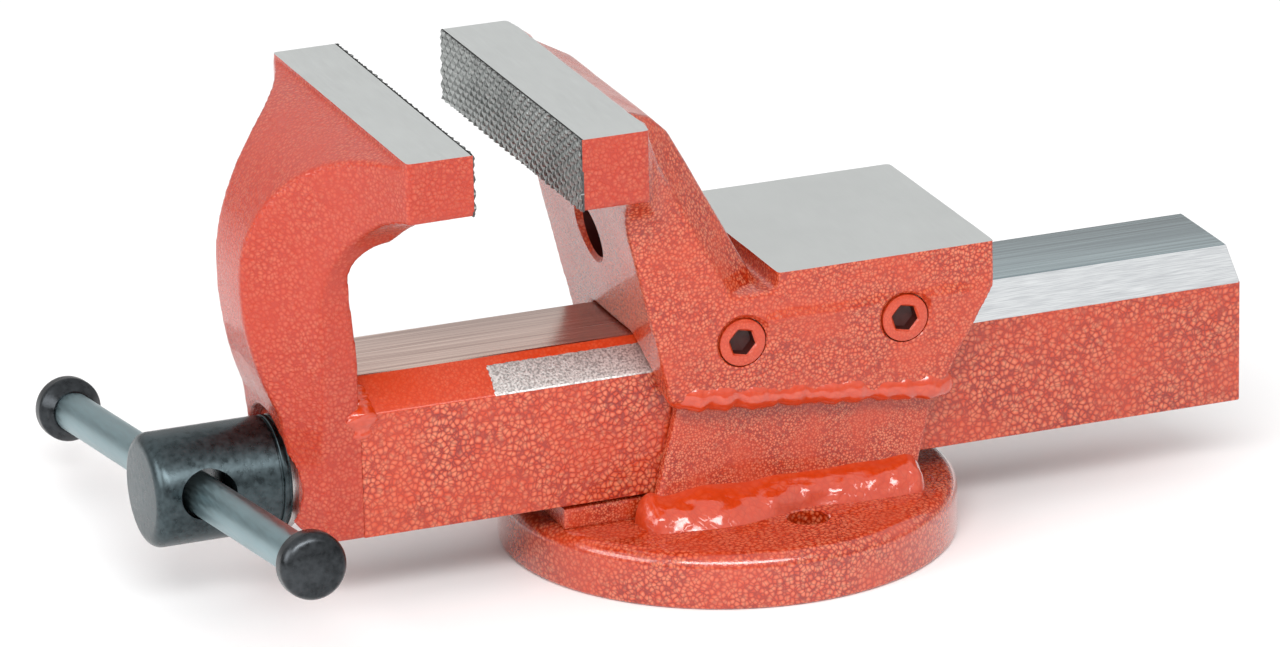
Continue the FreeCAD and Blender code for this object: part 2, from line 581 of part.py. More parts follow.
def make_moving_jaw():
    body = new_body("moving_jaw")
    back = f"{MOVING_FACE} - moving_jaw_thickness"
    block = f"{NOSE_X} + block_set_back"
    side = new_sketch(body, "moving_side", "XZ_Plane")
    outline(side, [
        (MOVING_FACE, JAW_TOP), (back, JAW_TOP), (back, f"{JAW_TOP} - brow_drop", "brow_radius", "left"),
        (NOSE_X, NOSE_Z, "chest_radius", "left"), (f"{NOSE_X} + chest_run", f"{NOSE_Z} - chest_fall"),
        (block, f"{NOSE_Z} - chest_fall - chest_run"), (block, f"{SLIDE_BOTTOM} + block_toe"),
        (f"{block} + block_toe", SLIDE_BOTTOM), (SLIDE_FRONT, SLIDE_BOTTOM),
        (SLIDE_FRONT, f"{SLIDE_TOP} + throat_foot"),
        (THROAT_X, f"{MOVING_JAW_FOOT} - throat_round_drop", "throat_round", "right"),
        (f"{MOVING_FACE} - throat_roof_run", f"{MOVING_JAW_FOOT} - throat_roof_drop"),
        (f"{MOVING_FACE} - under_jaw_land", MOVING_JAW_FOOT), (MOVING_FACE, MOVING_JAW_FOOT)])
    pad(body, side, "jaw_width", symmetric=True)

    run = f"({JAW_HALF} - {SLIDE_HALF})"
    flare_radius = f"({run}^2 + moving_flare_height^2) / (2 * {run})"
    sides = new_sketch(body, "moving_sides", "YZ_Plane")
    both_sides(sides, [
        (f"{JAW_HALF} * 2", MOVING_JAW_FOOT), (JAW_HALF, MOVING_JAW_FOOT, flare_radius, "left"),
        (SLIDE_HALF, f"{MOVING_JAW_FOOT} - moving_flare_height"), (SLIDE_HALF, "0"), (f"{JAW_HALF} * 2", "0")])
    pocket(body, sides, symmetric=True)

    plan = new_sketch(body, "moving_plan", "XY_Plane")
    for sign in (1, -1):
        outline(plan, [
            (back, side_y(sign, JAW_HALF), "fan_radius", "right" if sign > 0 else "left"),
            (NOSE_X, side_y(sign, "fan_tip_half")), (f"{NOSE_X} * 2", side_y(sign, "fan_tip_half")),
            (f"{NOSE_X} * 2", side_y(sign, f"{JAW_HALF} * 2")), (back, side_y(sign, f"{JAW_HALF} * 2"))])
    pocket(body, plan, reverse=True)

    boss = new_sketch(body, "spot_face", "YZ_Plane", f"{SEAT_X} + washer_thickness")
    circle(boss, "0", AXIS_Z, "head_radius + boss_margin")
    pocket(body, boss)
    bore = new_sketch(body, "spindle_bore", "YZ_Plane")
    circle(bore, "0", AXIS_Z, "spindle_radius + running_gap")
    pocket(body, bore, symmetric=True)


def make_slide_bar():
    body = new_body("slide_bar")
    inner = f"({NUT_HALF} + nut_side_gap)"
    roof = f"{SLIDE_TOP} - slide_roof"
    section = new_sketch(body, "slide_section", "YZ_Plane", SLIDE_FRONT)
    outline(section, [
        (f"-{SLIDE_HALF}", SLIDE_BOTTOM), (f"-{inner}", SLIDE_BOTTOM), (f"-{inner}", roof), (inner, roof),
        (inner, SLIDE_BOTTOM), (SLIDE_HALF, SLIDE_BOTTOM), (SLIDE_HALF, BEVEL_FOOT),
        ("slide_flat / 2", SLIDE_TOP), ("-slide_flat / 2", SLIDE_TOP), (f"-{SLIDE_HALF}", BEVEL_FOOT)])
    pad(body, section, "slide_length")


def make_slide_welds():
    """Two fillet beads on the slide's bevels, against the front block."""
    width = f"({SLIDE_HALF} - slide_flat / 2)"
    beads = []
    for index, sign in enumerate((1, -1)):
        bead = primitive("Wedge", f"slide_weld_{index}", Xmax="slide_weld_leg", Ymax="slide_weld_leg",
                         Zmax=f"sqrt({width}^2 + slide_bevel^2)", Z2max=f"sqrt({width}^2 + slide_bevel^2)")
        for corner in ("Xmin", "Ymin", "Zmin", "X2min", "X2max", "Z2min"):
            setattr(bead, corner, 0)
        beads.append(bead)
        turn = f"atan({width} / slide_bevel)"
        if sign > 0:
            place(bead, SLIDE_FRONT, SLIDE_HALF, BEVEL_FOOT, (1, 0, 0), turn)
        else:
            place(bead, SLIDE_FRONT, "-slide_flat / 2", SLIDE_TOP, (1, 0, 0), f"180 deg - {turn}")
    group("slide_welds", beads)


def make_thrust_washer():
    ring("thrust_washer", "head_radius", "spindle_radius + running_gap", "washer_thickness", SEAT_X)


def ring(name, outer, inner, length, x):
    """A ring round the spindle's axis."""
    body = new_body(name)
    section = new_sketch(body, name + "_section", "YZ_Plane")
    circle(section, "0", "0", outer)
    circle(section, "0", "0", inner)
    pad(body, section, length)
    place(body, x, "0", AXIS_Z)
    return body


# Spindle: its parts share the turn that the handle's hole has at rest.

HEAD_PIN_BACK = "(head_socket / 2)"
COLLAR_X = f"({SLIDE_FRONT} + end_play)"


def on_spindle(item, x):
    place(item, x, "0", AXIS_Z, (-1, 0, 0), "handle_tilt")


def make_spindle_screw():
    body = new_body("spindle_screw")
    start = f"({SEAT_X} - head_socket)"
    section = new_sketch(body, "screw_section", "YZ_Plane")
    circle(section, "0", "0", "spindle_radius")
    pad(body, section, f"spindle_reach - {start}")
    pins = new_sketch(body, "screw_pin_holes", "XY_Plane")
    circle(pins, f"head_socket - {HEAD_PIN_BACK}", "0", "head_pin_radius")
    circle(pins, f"{COLLAR_X} + collar_length / 2 - {start}", "0", "head_pin_radius")
    pocket(body, pins, symmetric=True)
    on_spindle(body, start)


def make_spindle_head():
    body = new_body("spindle_head")
    section = new_sketch(body, "head_section", "XZ_Plane")
    floor = "head_radius - head_ring_depth"
    land = "-head_ring_width - head_ring_land"
    outline(section, [
        ("-head_length", "0"), ("-head_socket", "0"), ("-head_socket", "spindle_radius"),
        ("0", "spindle_radius"), ("0", floor), ("-head_ring_width", floor),
        ("-head_ring_width", "head_radius"), (land, "head_radius"), (land, floor),
        (f"{land} - head_ring_width", floor), (f"{land} - head_ring_width", "head_radius"),
        ("-head_length + head_round", "head_radius", "head_round", "left"),
        ("-head_length", "head_radius - head_round")])
    revolve(body, section, "H_Axis")
    hole = new_sketch(body, "handle_hole", "XZ_Plane")
    circle(hole, "-handle_hole_back", "0", "handle_radius + handle_hole_gap")
    pocket(body, hole, symmetric=True)
    pin = new_sketch(body, "head_pin_hole", "XY_Plane")
    circle(pin, f"-{HEAD_PIN_BACK}", "0", "head_pin_radius")
    pocket(body, pin, symmetric=True)
    on_spindle(body, SEAT_X)


def make_pin(name, x, reach):
    """A pin across the spindle, as long as the ring that it holds is wide."""
    body = new_body(name)
    section = new_sketch(body, name + "_section", "XY_Plane")
    circle(section, "0", "0", "head_pin_radius")
    pad(body, section, reach, symmetric=True)
    on_spindle(body, x)


def make_retaining_collar():
    body = ring("retaining_collar", COLLAR_RADIUS, "spindle_radius", "collar_length", COLLAR_X)
    pin = new_sketch(body, "collar_pin_hole", "XY_Plane")
    circle(pin, "collar_length / 2", "0", "head_pin_radius")
    pocket(body, pin, symmetric=True)
    on_spindle(body, COLLAR_X)


# Nut

def make_spindle_nut():
    body = new_body("spindle_nut")
    top = f"{AXIS_Z} + spindle_radius + nut_crown"
    section = new_sketch(body, "nut_section", "YZ_Plane")
    outline(section, [
        (f"-{NUT_HALF}", FLOOR_TOP), (NUT_HALF, FLOOR_TOP), (NUT_HALF, f"{top} - nut_bevel"),
        (f"{NUT_HALF} - nut_bevel", top), (f"-{NUT_HALF} + nut_bevel", top),
        (f"-{NUT_HALF}", f"{top} - nut_bevel")])
    circle(section, "0", AXIS_Z, "spindle_radius + running_gap")
    pad(body, section, "nut_length", symmetric=True)
    nut_screw_holes(body, "nut_tapped_holes", "nut_screw_radius + running_gap", f"{FLOOR_TOP} + nut_screw_grip")


def make_nut_screws():
    """Socket screws through the base plate and the trough's floor, up into the nut."""
    screws = []
    shank = f"({FLOOR_TOP} - cap_recess + nut_screw_grip - running_gap)"
    for index, (x, y) in enumerate(nut_screw_places()):
        screw = socket_screw(f"nut_screw_{index}", [
            ("nut_screw_radius", "0", shank, None), ("cap_radius", shank, "cap_height", None)],
            "cap_socket_flats", "cap_height / 2")
        place(screw, x, y, f"cap_recess + {shank}", (1, 0, 0), "180")
        screws.append(screw)
    group("nut_screws", screws)


# Handle: its parts lie along the tilted bar.

HANDLE_X = f"({SEAT_X} - handle_hole_back)"


def on_handle(item, along, axis=(-1, 0, 0), angle="handle_tilt"):
    """Place a piece at a distance along the bar from its middle."""
    far = f"({along} + handle_shift)"
    place(item, HANDLE_X, f"{far} * cos(handle_tilt)",
          f"{AXIS_Z} - handle_hole_gap + handle_rest_gap - {far} * sin(handle_tilt)", axis, angle)


def make_handle_bar():
    body = new_body("handle_bar")
    section = new_sketch(body, "bar_section", "XZ_Plane")
    circle(section, "0", "0", "handle_radius")
    pad(body, section, "handle_length + 2 * knob_seat", symmetric=True)
    on_handle(body, "0")


def make_knob(name, far):
    body = new_body(name)
    section = new_sketch(body, name + "_section", "XY_Plane")
    sign = 1 if far else -1
    outline(section, [
        ("0", side_y(sign, "knob_seat")), ("handle_radius", side_y(sign, "knob_seat")),
        ("handle_radius", "0"), ("handle_radius + knob_lip", "0"), ("knob_radius", side_y(sign, "knob_cone")),
        ("knob_radius", side_y(sign, "knob_length - knob_crown"), "knob_crown", "left" if far else "right"),
        ("knob_radius - knob_crown", side_y(sign, "knob_length")), ("0", side_y(sign, "knob_length"))])
    revolve(body, section, "V_Axis")
    on_handle(body, "handle_length / 2" if far else "-handle_length / 2")


# Weld beads

def make_base_welds():
    body = new_body("base_welds")
    start = "(base_weld_set_back - trough_front - trough_front_lean)"
    section = new_sketch(body, "base_weld_section", "YZ_Plane", start)
    both_sides(section, [
        (TROUGH_HALF, "base_height"), (f"{TROUGH_HALF} + base_weld_leg", "base_height"),
        (TROUGH_HALF, "base_height + base_weld_leg")])
    pad(body, section, f"trough_rear - trough_rear_lean - {start}")


def make_seam_welds():
    body = new_body("seam_welds")
    side = new_sketch(body, "seam_weld_side", "XZ_Plane")
    rear = "(trough_rear - trough_rear_lean / 2)"
    outline(side, [
        ("-trough_front", seam_z("-trough_front")), ("-trough_front", seam_z("-trough_front") + " - weld_leg"),
        (rear, seam_z(rear) + " - weld_leg / 2"), (rear, seam_z(rear))])
    pad(body, side, f"2 * ({SADDLE_HALF} - saddle_foot_inset)", symmetric=True)
    core = new_sketch(body, "seam_weld_core", "YZ_Plane")
    outline(core, [
        (f"-{TROUGH_HALF}", "0"), (TROUGH_HALF, "0"), (TROUGH_HALF, JAW_TOP), (f"-{TROUGH_HALF}", JAW_TOP)])
    pocket(body, core, symmetric=True)


def node_objects():
    """The bodies and groups that are written, one per node."""
    kinds = ("PartDesign::Body", "Part::Compound")
    return [item for item in doc.Objects if item.TypeId in kinds]


def check_model():
    doc.recompute()
    for item in doc.Objects:
        if "Invalid" in item.State or "Error" in item.State:
            raise RuntimeError("%s failed: %s" % (item.Label, item.State))
    for node in node_objects():
        if node.Shape.isNull() or not node.Shape.isValid() or not node.Shape.Solids:
            raise RuntimeError(node.Label + " has no valid shape")


def write_parts():
    os.makedirs("parts", exist_ok=True)
    for node in node_objects():
        node.Shape.exportStep("parts/%s.step" % node.Label)
        print("%-20s solids %d  volume %.0f mm3" % (node.Label, len(node.Shape.Solids), node.Shape.Volume))


make_base_plate()
make_lower_housing()
make_fixed_jaw()
make_gib("guide_gib_left", 1)
make_gib("guide_gib_right", -1)
make_set_screws("gib_screws_left", 1)
make_set_screws("gib_screws_right", -1)
make_moving_jaw()
make_slide_bar()
make_slide_welds()
make_thrust_washer()
make_spindle_screw()
make_spindle_head()
make_pin("head_pin", f"{SEAT_X} - {HEAD_PIN_BACK}", "head_radius * 2 - head_ring_depth * 2")
make_retaining_collar()
make_pin("collar_pin", f"{COLLAR_X} + collar_length / 2", f"2 * ({COLLAR_RADIUS} - running_gap)")
make_spindle_nut()
make_nut_screws()
make_handle_bar()
make_knob("handle_knob_far", True)
make_knob("handle_knob_near", False)
make_base_welds()
make_seam_welds()
check_model()
write_parts()
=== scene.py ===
import json
import math
import bmesh
import bpy
from mathutils import Matrix, Vector, noise


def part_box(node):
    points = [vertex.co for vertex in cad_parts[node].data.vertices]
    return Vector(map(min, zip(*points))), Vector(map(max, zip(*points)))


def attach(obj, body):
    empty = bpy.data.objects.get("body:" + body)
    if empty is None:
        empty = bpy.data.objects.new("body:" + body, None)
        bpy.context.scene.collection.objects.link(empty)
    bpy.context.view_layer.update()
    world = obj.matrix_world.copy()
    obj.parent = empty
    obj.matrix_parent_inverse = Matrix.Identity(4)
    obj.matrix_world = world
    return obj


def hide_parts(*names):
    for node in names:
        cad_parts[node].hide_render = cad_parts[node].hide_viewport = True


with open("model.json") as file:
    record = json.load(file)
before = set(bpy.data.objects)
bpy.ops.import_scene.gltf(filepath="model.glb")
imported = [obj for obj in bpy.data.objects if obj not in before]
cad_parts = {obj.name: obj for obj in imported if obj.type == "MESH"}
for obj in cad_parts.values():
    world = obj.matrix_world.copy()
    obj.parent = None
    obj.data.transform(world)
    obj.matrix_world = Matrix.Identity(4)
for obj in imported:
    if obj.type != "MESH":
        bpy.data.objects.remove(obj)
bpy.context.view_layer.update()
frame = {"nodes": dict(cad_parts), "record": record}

NODES = frame["nodes"]
RECORD = frame["record"]
MOUNTS = {mount["name"]: Vector(mount["pos_m"]) for mount in RECORD["mounts"]}
DIMS = {mount["name"]: mount["dims"] for mount in RECORD["mounts"]}
JOINTS = {joint["name"]: joint for joint in RECORD["behaviour"]["joints"]}
MM = 0.001
X, Y, Z = Vector((1, 0, 0)), Vector((0, 1, 0)), Vector((0, 0, 1))

# Places read from the frame, in metres.
FIXED_LOW, FIXED_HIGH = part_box("fixed_jaw")
SLIDE_LOW, SLIDE_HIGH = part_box("slide_bar")
WASHER_LOW, WASHER_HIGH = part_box("thrust_washer")
JAW_TOP = FIXED_HIGH.z
JAW_HALF = FIXED_HIGH.y
FIXED_FACE = FIXED_LOW.x
MOVING_FACE = MOUNTS["moving_jaw_face"].x
ANVIL_TOP = MOUNTS["anvil_face"].z
ANVIL_REAR = FIXED_HIGH.x
SLIDE_HALF = SLIDE_HIGH.y
AXIS_Z = (WASHER_LOW.z + WASHER_HIGH.z) / 2
SEAT_X = WASHER_LOW.x
TROUGH_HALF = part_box("lower_housing")[1].y
BASE_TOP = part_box("base_plate")[1].z
BASE_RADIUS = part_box("base_plate")[1].x
HANDLE_AXIS = Vector(JOINTS["handle_slide"]["axis"]).normalized()
HANDLE_CENTRE = sum(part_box("handle_bar"), Vector()) / 2
BOLT_X = MOUNTS["bench_bolts"].x
BOLT_Y = DIMS["bench_bolts"]["spacing_y_mm"] / 2 * MM
BOLT_HOLE_RADIUS = DIMS["bench_bolts"]["hole_r_mm"] * MM

# Sizes that the frame's boxes don't give, in metres. First the jaws, the saddle and the seam, whose
# fall is a slope.
SADDLE_HALF = 41 * MM
ANVIL_FRONT = 1.5 * MM
FIXED_JAW_BACK = FIXED_FACE + 21.7 * MM
FIXED_JAW_FOOT = JAW_TOP - 22.7 * MM
MOVING_JAW_BACK = MOVING_FACE - 20.9 * MM
MOVING_JAW_FOOT = JAW_TOP - 19.3 * MM
SEAM_HEIGHT = 55 * MM
SEAM_FALL = 0.1046

# The slide, and where its bevels have a bare patch and a painted band.
SLIDE_FLAT = 16.5 * MM
SLIDE_BEVEL = 9.3 * MM
SLIDE_ROOF = 10 * MM
SLIDE_INNER = 19.8 * MM
GUIDE_GAP = 0.25 * MM
PATCH_FRONT = -86 * MM
PATCH_REAR = -34 * MM
BAND_FOOT = SLIDE_HIGH.z - 2.2 * MM

# The set screws, and the nut's screws in the base.
SET_SCREWS = (-10.1 * MM, 43.9 * MM)
SET_SCREW_Z = SLIDE_HIGH.z + 0.7 * MM
SET_SCREW_RADIUS = 7.6 * MM
SET_SCREW_FACE = SADDLE_HALF - 0.9 * MM
SET_SCREW_GAP = 0.35 * MM
SOCKET_REACH = 5 * MM
NUT_SCREW_X, NUT_SCREW_Y = 17 * MM, 13.3 * MM

# The round hole in the fixed neck, and the direction in which the neck's front faces.
FACE_HOLE_Z = JAW_TOP - 51 * MM
FACE_HOLE_RADIUS = 8.5 * MM
FACE_HOLE_END = FIXED_FACE + 47.5 * MM
FACE_HOLE_LENGTH = 40 * MM
NECK_FRONT = FIXED_FACE + 24.4 * MM
NECK_LEAN = Vector((-0.972, 0, -0.233))

# The spindle and its handle.
HEAD_RADIUS = 17.75 * MM
HEAD_LENGTH = 42.5 * MM
CROSS_HOLE_RADIUS = 8 * MM
BAR_RADIUS = 6.25 * MM
BAR_IN_KNOB = 6.9 * MM
HANDLE_HALF = 111.5 * MM
KNOB_RADIUS = 10.3 * MM
KNOB_LENGTH = 11.5 * MM
SCREW_RADIUS = 12 * MM
SCREW_PITCH = 5 * MM
THREAD_DEPTH = 2.4 * MM

# What fillers stand proud by, how far cutters reach, and how close to a plane a face lies on it.
PROUD = 4 * MM
FAR = 90 * MM
ON_PLANE = 0.01 * MM

# Lengths of the waves on forged faces.
FINE_WAVE, LONG_WAVE = 11 * MM, 34 * MM

# Forging creases on the saddle's sides, in millimetres: height at x = 0, fall for each millimetre
# along x, width and depth. A ridge has a negative depth.
CREASES = (
    (75.6, 0.0, 0.7, 0.22),
    (69.2, 0.03, 1.0, 0.30),
    (65.3, 0.06, 0.8, 0.22),
    (81.2, 0.0, 1.5, -0.55),
    (85.5, 0.0, 2.2, 0.45))
CREASES_START, CREASES_END = -12 * MM, 72 * MM


# Mesh helpers

def new_object(name, bm):
    """Object that holds the bmesh's mesh."""
    mesh = bpy.data.meshes.new(name)
    bm.to_mesh(mesh)
    bm.free()
    piece = bpy.data.objects.new(name, mesh)
    bpy.context.scene.collection.objects.link(piece)
    return piece


def add_solid(bm, points, faces):
    """Add a closed solid, with its faces turned outwards."""
    corners = [bm.verts.new(point) for point in points]
    made = [bm.faces.new([corners[index] for index in face]) for face in faces]
    bmesh.ops.recalc_face_normals(bm, faces=made)


def add_prism(bm, section, place):
    """Prism: place(point, 0) and place(point, 1) put the section's points on its two ends."""
    count = len(section)
    points = [place(point, end) for end in (0, 1) for point in section]
    sides = [(i, (i + 1) % count, (i + 1) % count + count, i + count) for i in range(count)]
    add_solid(bm, points, [tuple(range(count)), tuple(range(2 * count - 1, count - 1, -1)), *sides])


def add_box(bm, low, high):
    """Box between its lowest and its highest corner."""
    section = [(low[0], low[1]), (high[0], low[1]), (high[0], high[1]), (low[0], high[1])]
    add_prism(bm, section, lambda p, end: (p[0], p[1], (low[2], high[2])[end]))


def add_lathe(bm, profile, origin, axis, segments=96):
    """Solid of revolution. The profile is a list of (distance along the axis, radius) points. It
    starts and ends on the axis, or else it is a closed ring."""
    axis = Vector(axis).normalized()
    side = axis.orthogonal().normalized()
    up = axis.cross(side)
    rings = []
    for along, radius in profile:
        middle = Vector(origin) + axis * along
        if radius == 0:
            rings.append([bm.verts.new(middle)])
            continue
        turns = [2 * math.pi * i / segments for i in range(segments)]
        rings.append([bm.verts.new(middle + (side * math.cos(t) + up * math.sin(t)) * radius) for t in turns])
    if len(rings[0]) > 1:
        rings.append(rings[0])
    made = []
    for first, second in zip(rings, rings[1:]):
        for i in range(segments):
            j = (i + 1) % segments
            corners = [first[i % len(first)], first[j % len(first)],
                       second[j % len(second)], second[i % len(second)]]
            made.append(bm.faces.new(list(dict.fromkeys(corners))))
    bmesh.ops.recalc_face_normals(bm, faces=made)


def rod(start, end, radius):
    """Profile of a plain cylinder between two places on the axis."""
    return [(start, 0), (start, radius), (end, radius), (end, 0)]


def arc(centre_along, centre_radius, radius, start, end, steps=8):
    """Points of a profile on an arc, its angles in degrees from the axis's direction."""
    angles = [math.radians(start + (end - start) * i / steps) for i in range(steps + 1)]
    return [(centre_along + radius * math.cos(a), centre_radius + radius * math.sin(a)) for a in angles]


def solid(name, add, *arguments, **settings):
    """Object that one of the add functions makes."""
    bm = bmesh.new()
    add(bm, *arguments, **settings)
    return new_object(name, bm)


def apply_modifiers(piece):
    """Replace the piece's mesh by what its modifiers make of it."""
    bpy.context.view_layer.update()
    evaluated = piece.evaluated_get(bpy.context.evaluated_depsgraph_get())
    mesh = bpy.data.meshes.new_from_object(evaluated)
    old = piece.data
    piece.modifiers.clear()
    piece.data = mesh
    bpy.data.meshes.remove(old)


def cut(piece, cutters):
    """Cut the closed solids away, one after the other."""
    for cutter in cutters:
        modifier = piece.modifiers.new("cut", "BOOLEAN")
        modifier.solver = "MANIFOLD"
        modifier.operation = "DIFFERENCE"
        modifier.object = cutter
    apply_modifiers(piece)
    for cutter in cutters:
        bpy.data.objects.remove(cutter)


def shade(piece, degrees=32):
    """Smooth shading that stops at edges sharper than the angle."""
    bm = bmesh.new()
    bm.from_mesh(piece.data)
    limit = math.radians(degrees)
    for face in bm.faces:
        face.smooth = True
    for edge in bm.edges:
        edge.smooth = edge.is_manifold and edge.calc_face_angle(0) < limit
    bm.to_mesh(piece.data)
    bm.free()


def dress(piece, materials, choose=None):
    """Give the piece its materials, and each face the one whose number choose(centre, normal) gives."""
    piece.data.materials.clear()
    for material in materials:
        piece.data.materials.append(material)
    for face in piece.data.polygons:
        face.material_index = choose(face.center, face.normal) if choose else 0


def settle(piece, body, slot, *nodes):
    """The piece rides on the body and stands for the CAD nodes. The slot is not used."""
    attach(piece, body)
    if nodes:
        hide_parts(*nodes)


# Materials

def new_material(name):
    """A material, its node tree and its shader."""
    material = bpy.data.materials.new(name)
    material.use_nodes = True
    return material, material.node_tree, material.node_tree.nodes["Principled BSDF"]


def node(tree, kind, inputs=None, output=0, **settings):
    """A shader node with its inputs linked or set. Returns one of its outputs."""
    item = tree.nodes.new("ShaderNode" + kind)
    for key, setting in settings.items():
        setattr(item, key, setting)
    for socket, given in (inputs or {}).items():
        if isinstance(given, bpy.types.NodeSocket):
            tree.links.new(given, item.inputs[socket])
        else:
            item.inputs[socket].default_value = given
    return item.outputs[output]


def ramp(tree, factor, stops):
    """Colour ramp through (position, grey or colour) stops."""
    item = tree.nodes.new("ShaderNodeValToRGB")
    tree.links.new(factor, item.inputs[0])
    elements = item.color_ramp.elements
    while len(elements) < len(stops):
        elements.new(0.5)
    for element, (position, color) in zip(elements, stops):
        element.position = position
        element.color = (color, color, color, 1) if isinstance(color, (int, float)) else (*color, 1)
    return item.outputs[0]


def mix(tree, factor, first, second):
    """Colour between first and second."""
    item = tree.nodes.new("ShaderNodeMix")
    item.data_type = "RGBA"
    for index, given in ((0, factor), (6, first), (7, second)):
        if isinstance(given, bpy.types.NodeSocket):
            tree.links.new(given, item.inputs[index])
        else:
            item.inputs[index].default_value = given if index == 0 else (*given, 1)
    return item.outputs[2]


def maths(tree, operation, first, second=0.0):
    """Result of a sum on two numbers or sockets."""
    return node(tree, "Math", {0: first, 1: second}, operation=operation)


def place_of(tree, scale=(1, 1, 1)):
    """Place on the piece in metres, stretched by scale."""
    here = node(tree, "TexCoord", output=3)
    return node(tree, "Mapping", {"Vector": here, "Scale": scale})


RED = (0.52, 0.040, 0.005)
# Painted shade: a darker copy of RED for the jaws, for how the light falls on them.
SHADED_JAW_RED = (0.43, 0.026, 0.004)
# Painted shade: the deeper red laid into the valleys between the paint's cells.
PAINTED_SHADE_RED = (0.20, 0.006, 0.001)
# Painted highlight: the pale colour laid on the tops of the paint's cells.
PAINTED_HIGHLIGHT_RED = (0.90, 0.44, 0.24)
STEEL = (0.55, 0.57, 0.565)


def paint_layers(tree, cell, highlight_and_shade, relief, red=RED):
    """Colour and bump of hammered enamel: domed cells with a painted highlight on their tops and painted
    shade, a deeper red, in the valleys between them.
    """
    here = place_of(tree)
    wobble = node(tree, "TexNoise", {"Vector": here, "Scale": 0.4 / cell, "Detail": 2.0}, output=1)
    wobble = node(tree, "VectorMath", {0: wobble, 1: (-0.5, -0.5, -0.5)}, operation="ADD")
    wobble = node(tree, "VectorMath", {0: wobble, "Scale": cell * 1.2}, operation="SCALE")
    bent = node(tree, "VectorMath", {0: here, 1: wobble}, operation="ADD")
    cells = node(tree, "TexVoronoi", {"Vector": bent, "Scale": 1 / cell})
    walls = node(tree, "TexVoronoi", {"Vector": bent, "Scale": 1 / cell}, feature="DISTANCE_TO_EDGE")
    patches = node(tree, "TexNoise", {"Vector": here, "Scale": 0.07 / cell, "Detail": 3.0})
    patches = ramp(tree, patches, [(0.34, 0.45), (0.62, 1.0)])
    # Painted highlight on the cell tops, and painted shade in the valleys between the cells.
    painted_highlight = maths(tree, "MULTIPLY", ramp(tree, cells, [(0.0, 1.0), (0.62, 0.0)]), patches)
    painted_valley_shade = maths(tree, "MULTIPLY", ramp(tree, walls, [(0.03, 1.0), (0.20, 0.0)]), patches)
    color = mix(tree, maths(tree, "MULTIPLY", painted_valley_shade, min(2.2 * highlight_and_shade, 0.9)), red, PAINTED_SHADE_RED)
    color = mix(tree, maths(tree, "MULTIPLY", painted_highlight, highlight_and_shade), color, PAINTED_HIGHLIGHT_RED)
    peel = node(tree, "TexNoise", {"Vector": here, "Scale": 0.14 / cell, "Detail": 2.0})
    height = maths(tree, "MULTIPLY", ramp(tree, walls, [(0.0, 0.0), (0.22, 1.0)]), 0.55)
    height = maths(tree, "ADD", height, maths(tree, "MULTIPLY", peel, 1.6))
    bump = node(tree, "Bump", {"Height": height, "Distance": cell * relief, "Strength": 1.0})
    return color, bump


def make_paint(name, cell, highlight_and_shade, relief, roughness=0.26, coat=0.45, red=RED):
    """Hammered enamel with cells of a given size. The argument after the cell size sets how strong the
    painted highlight on the cell tops and the painted shade between the cells are.
    """
    material, tree, shader = new_material(name)
    color, bump = paint_layers(tree, cell, highlight_and_shade, relief, red)
    tree.links.new(color, shader.inputs["Base Color"])
    tree.links.new(bump, shader.inputs["Normal"])
    shader.inputs["Roughness"].default_value = roughness
    shader.inputs["Coat Weight"].default_value = coat
    shader.inputs["Coat Roughness"].default_value = 0.07
    return material


def make_steel(name, color=STEEL, lay=(60, 60, 60), roughness=0.38, grain=0.02 * MM, tone=0.12, metallic=1.0):
    """Machined steel. lay stretches its grinding lines: the axis with the small number runs along them."""
    material, tree, shader = new_material(name)
    lines = node(tree, "TexNoise", {"Vector": place_of(tree, lay), "Scale": 40.0, "Detail": 4.0})
    clouds = node(tree, "TexNoise", {"Vector": place_of(tree), "Scale": 45.0, "Detail": 3.0})
    dark = tuple(part * (1 - 2 * tone) for part in color)
    clouds = maths(tree, "MULTIPLY", clouds, 0.4)
    shade_factor = maths(tree, "ADD", maths(tree, "MULTIPLY", lines, 0.6), clouds)
    tree.links.new(mix(tree, ramp(tree, shade_factor, [(0.36, 0.0), (0.60, 1.0)]), dark, color),
                   shader.inputs["Base Color"])
    rough = node(tree, "MapRange", {"Value": lines, 1: 0.3, 2: 0.7, 3: roughness - 0.06, 4: roughness + 0.08})
    tree.links.new(rough, shader.inputs["Roughness"])
    bump = node(tree, "Bump", {"Height": lines, "Distance": grain, "Strength": 1.0})
    tree.links.new(bump, shader.inputs["Normal"])
    shader.inputs["Metallic"].default_value = metallic
    return material


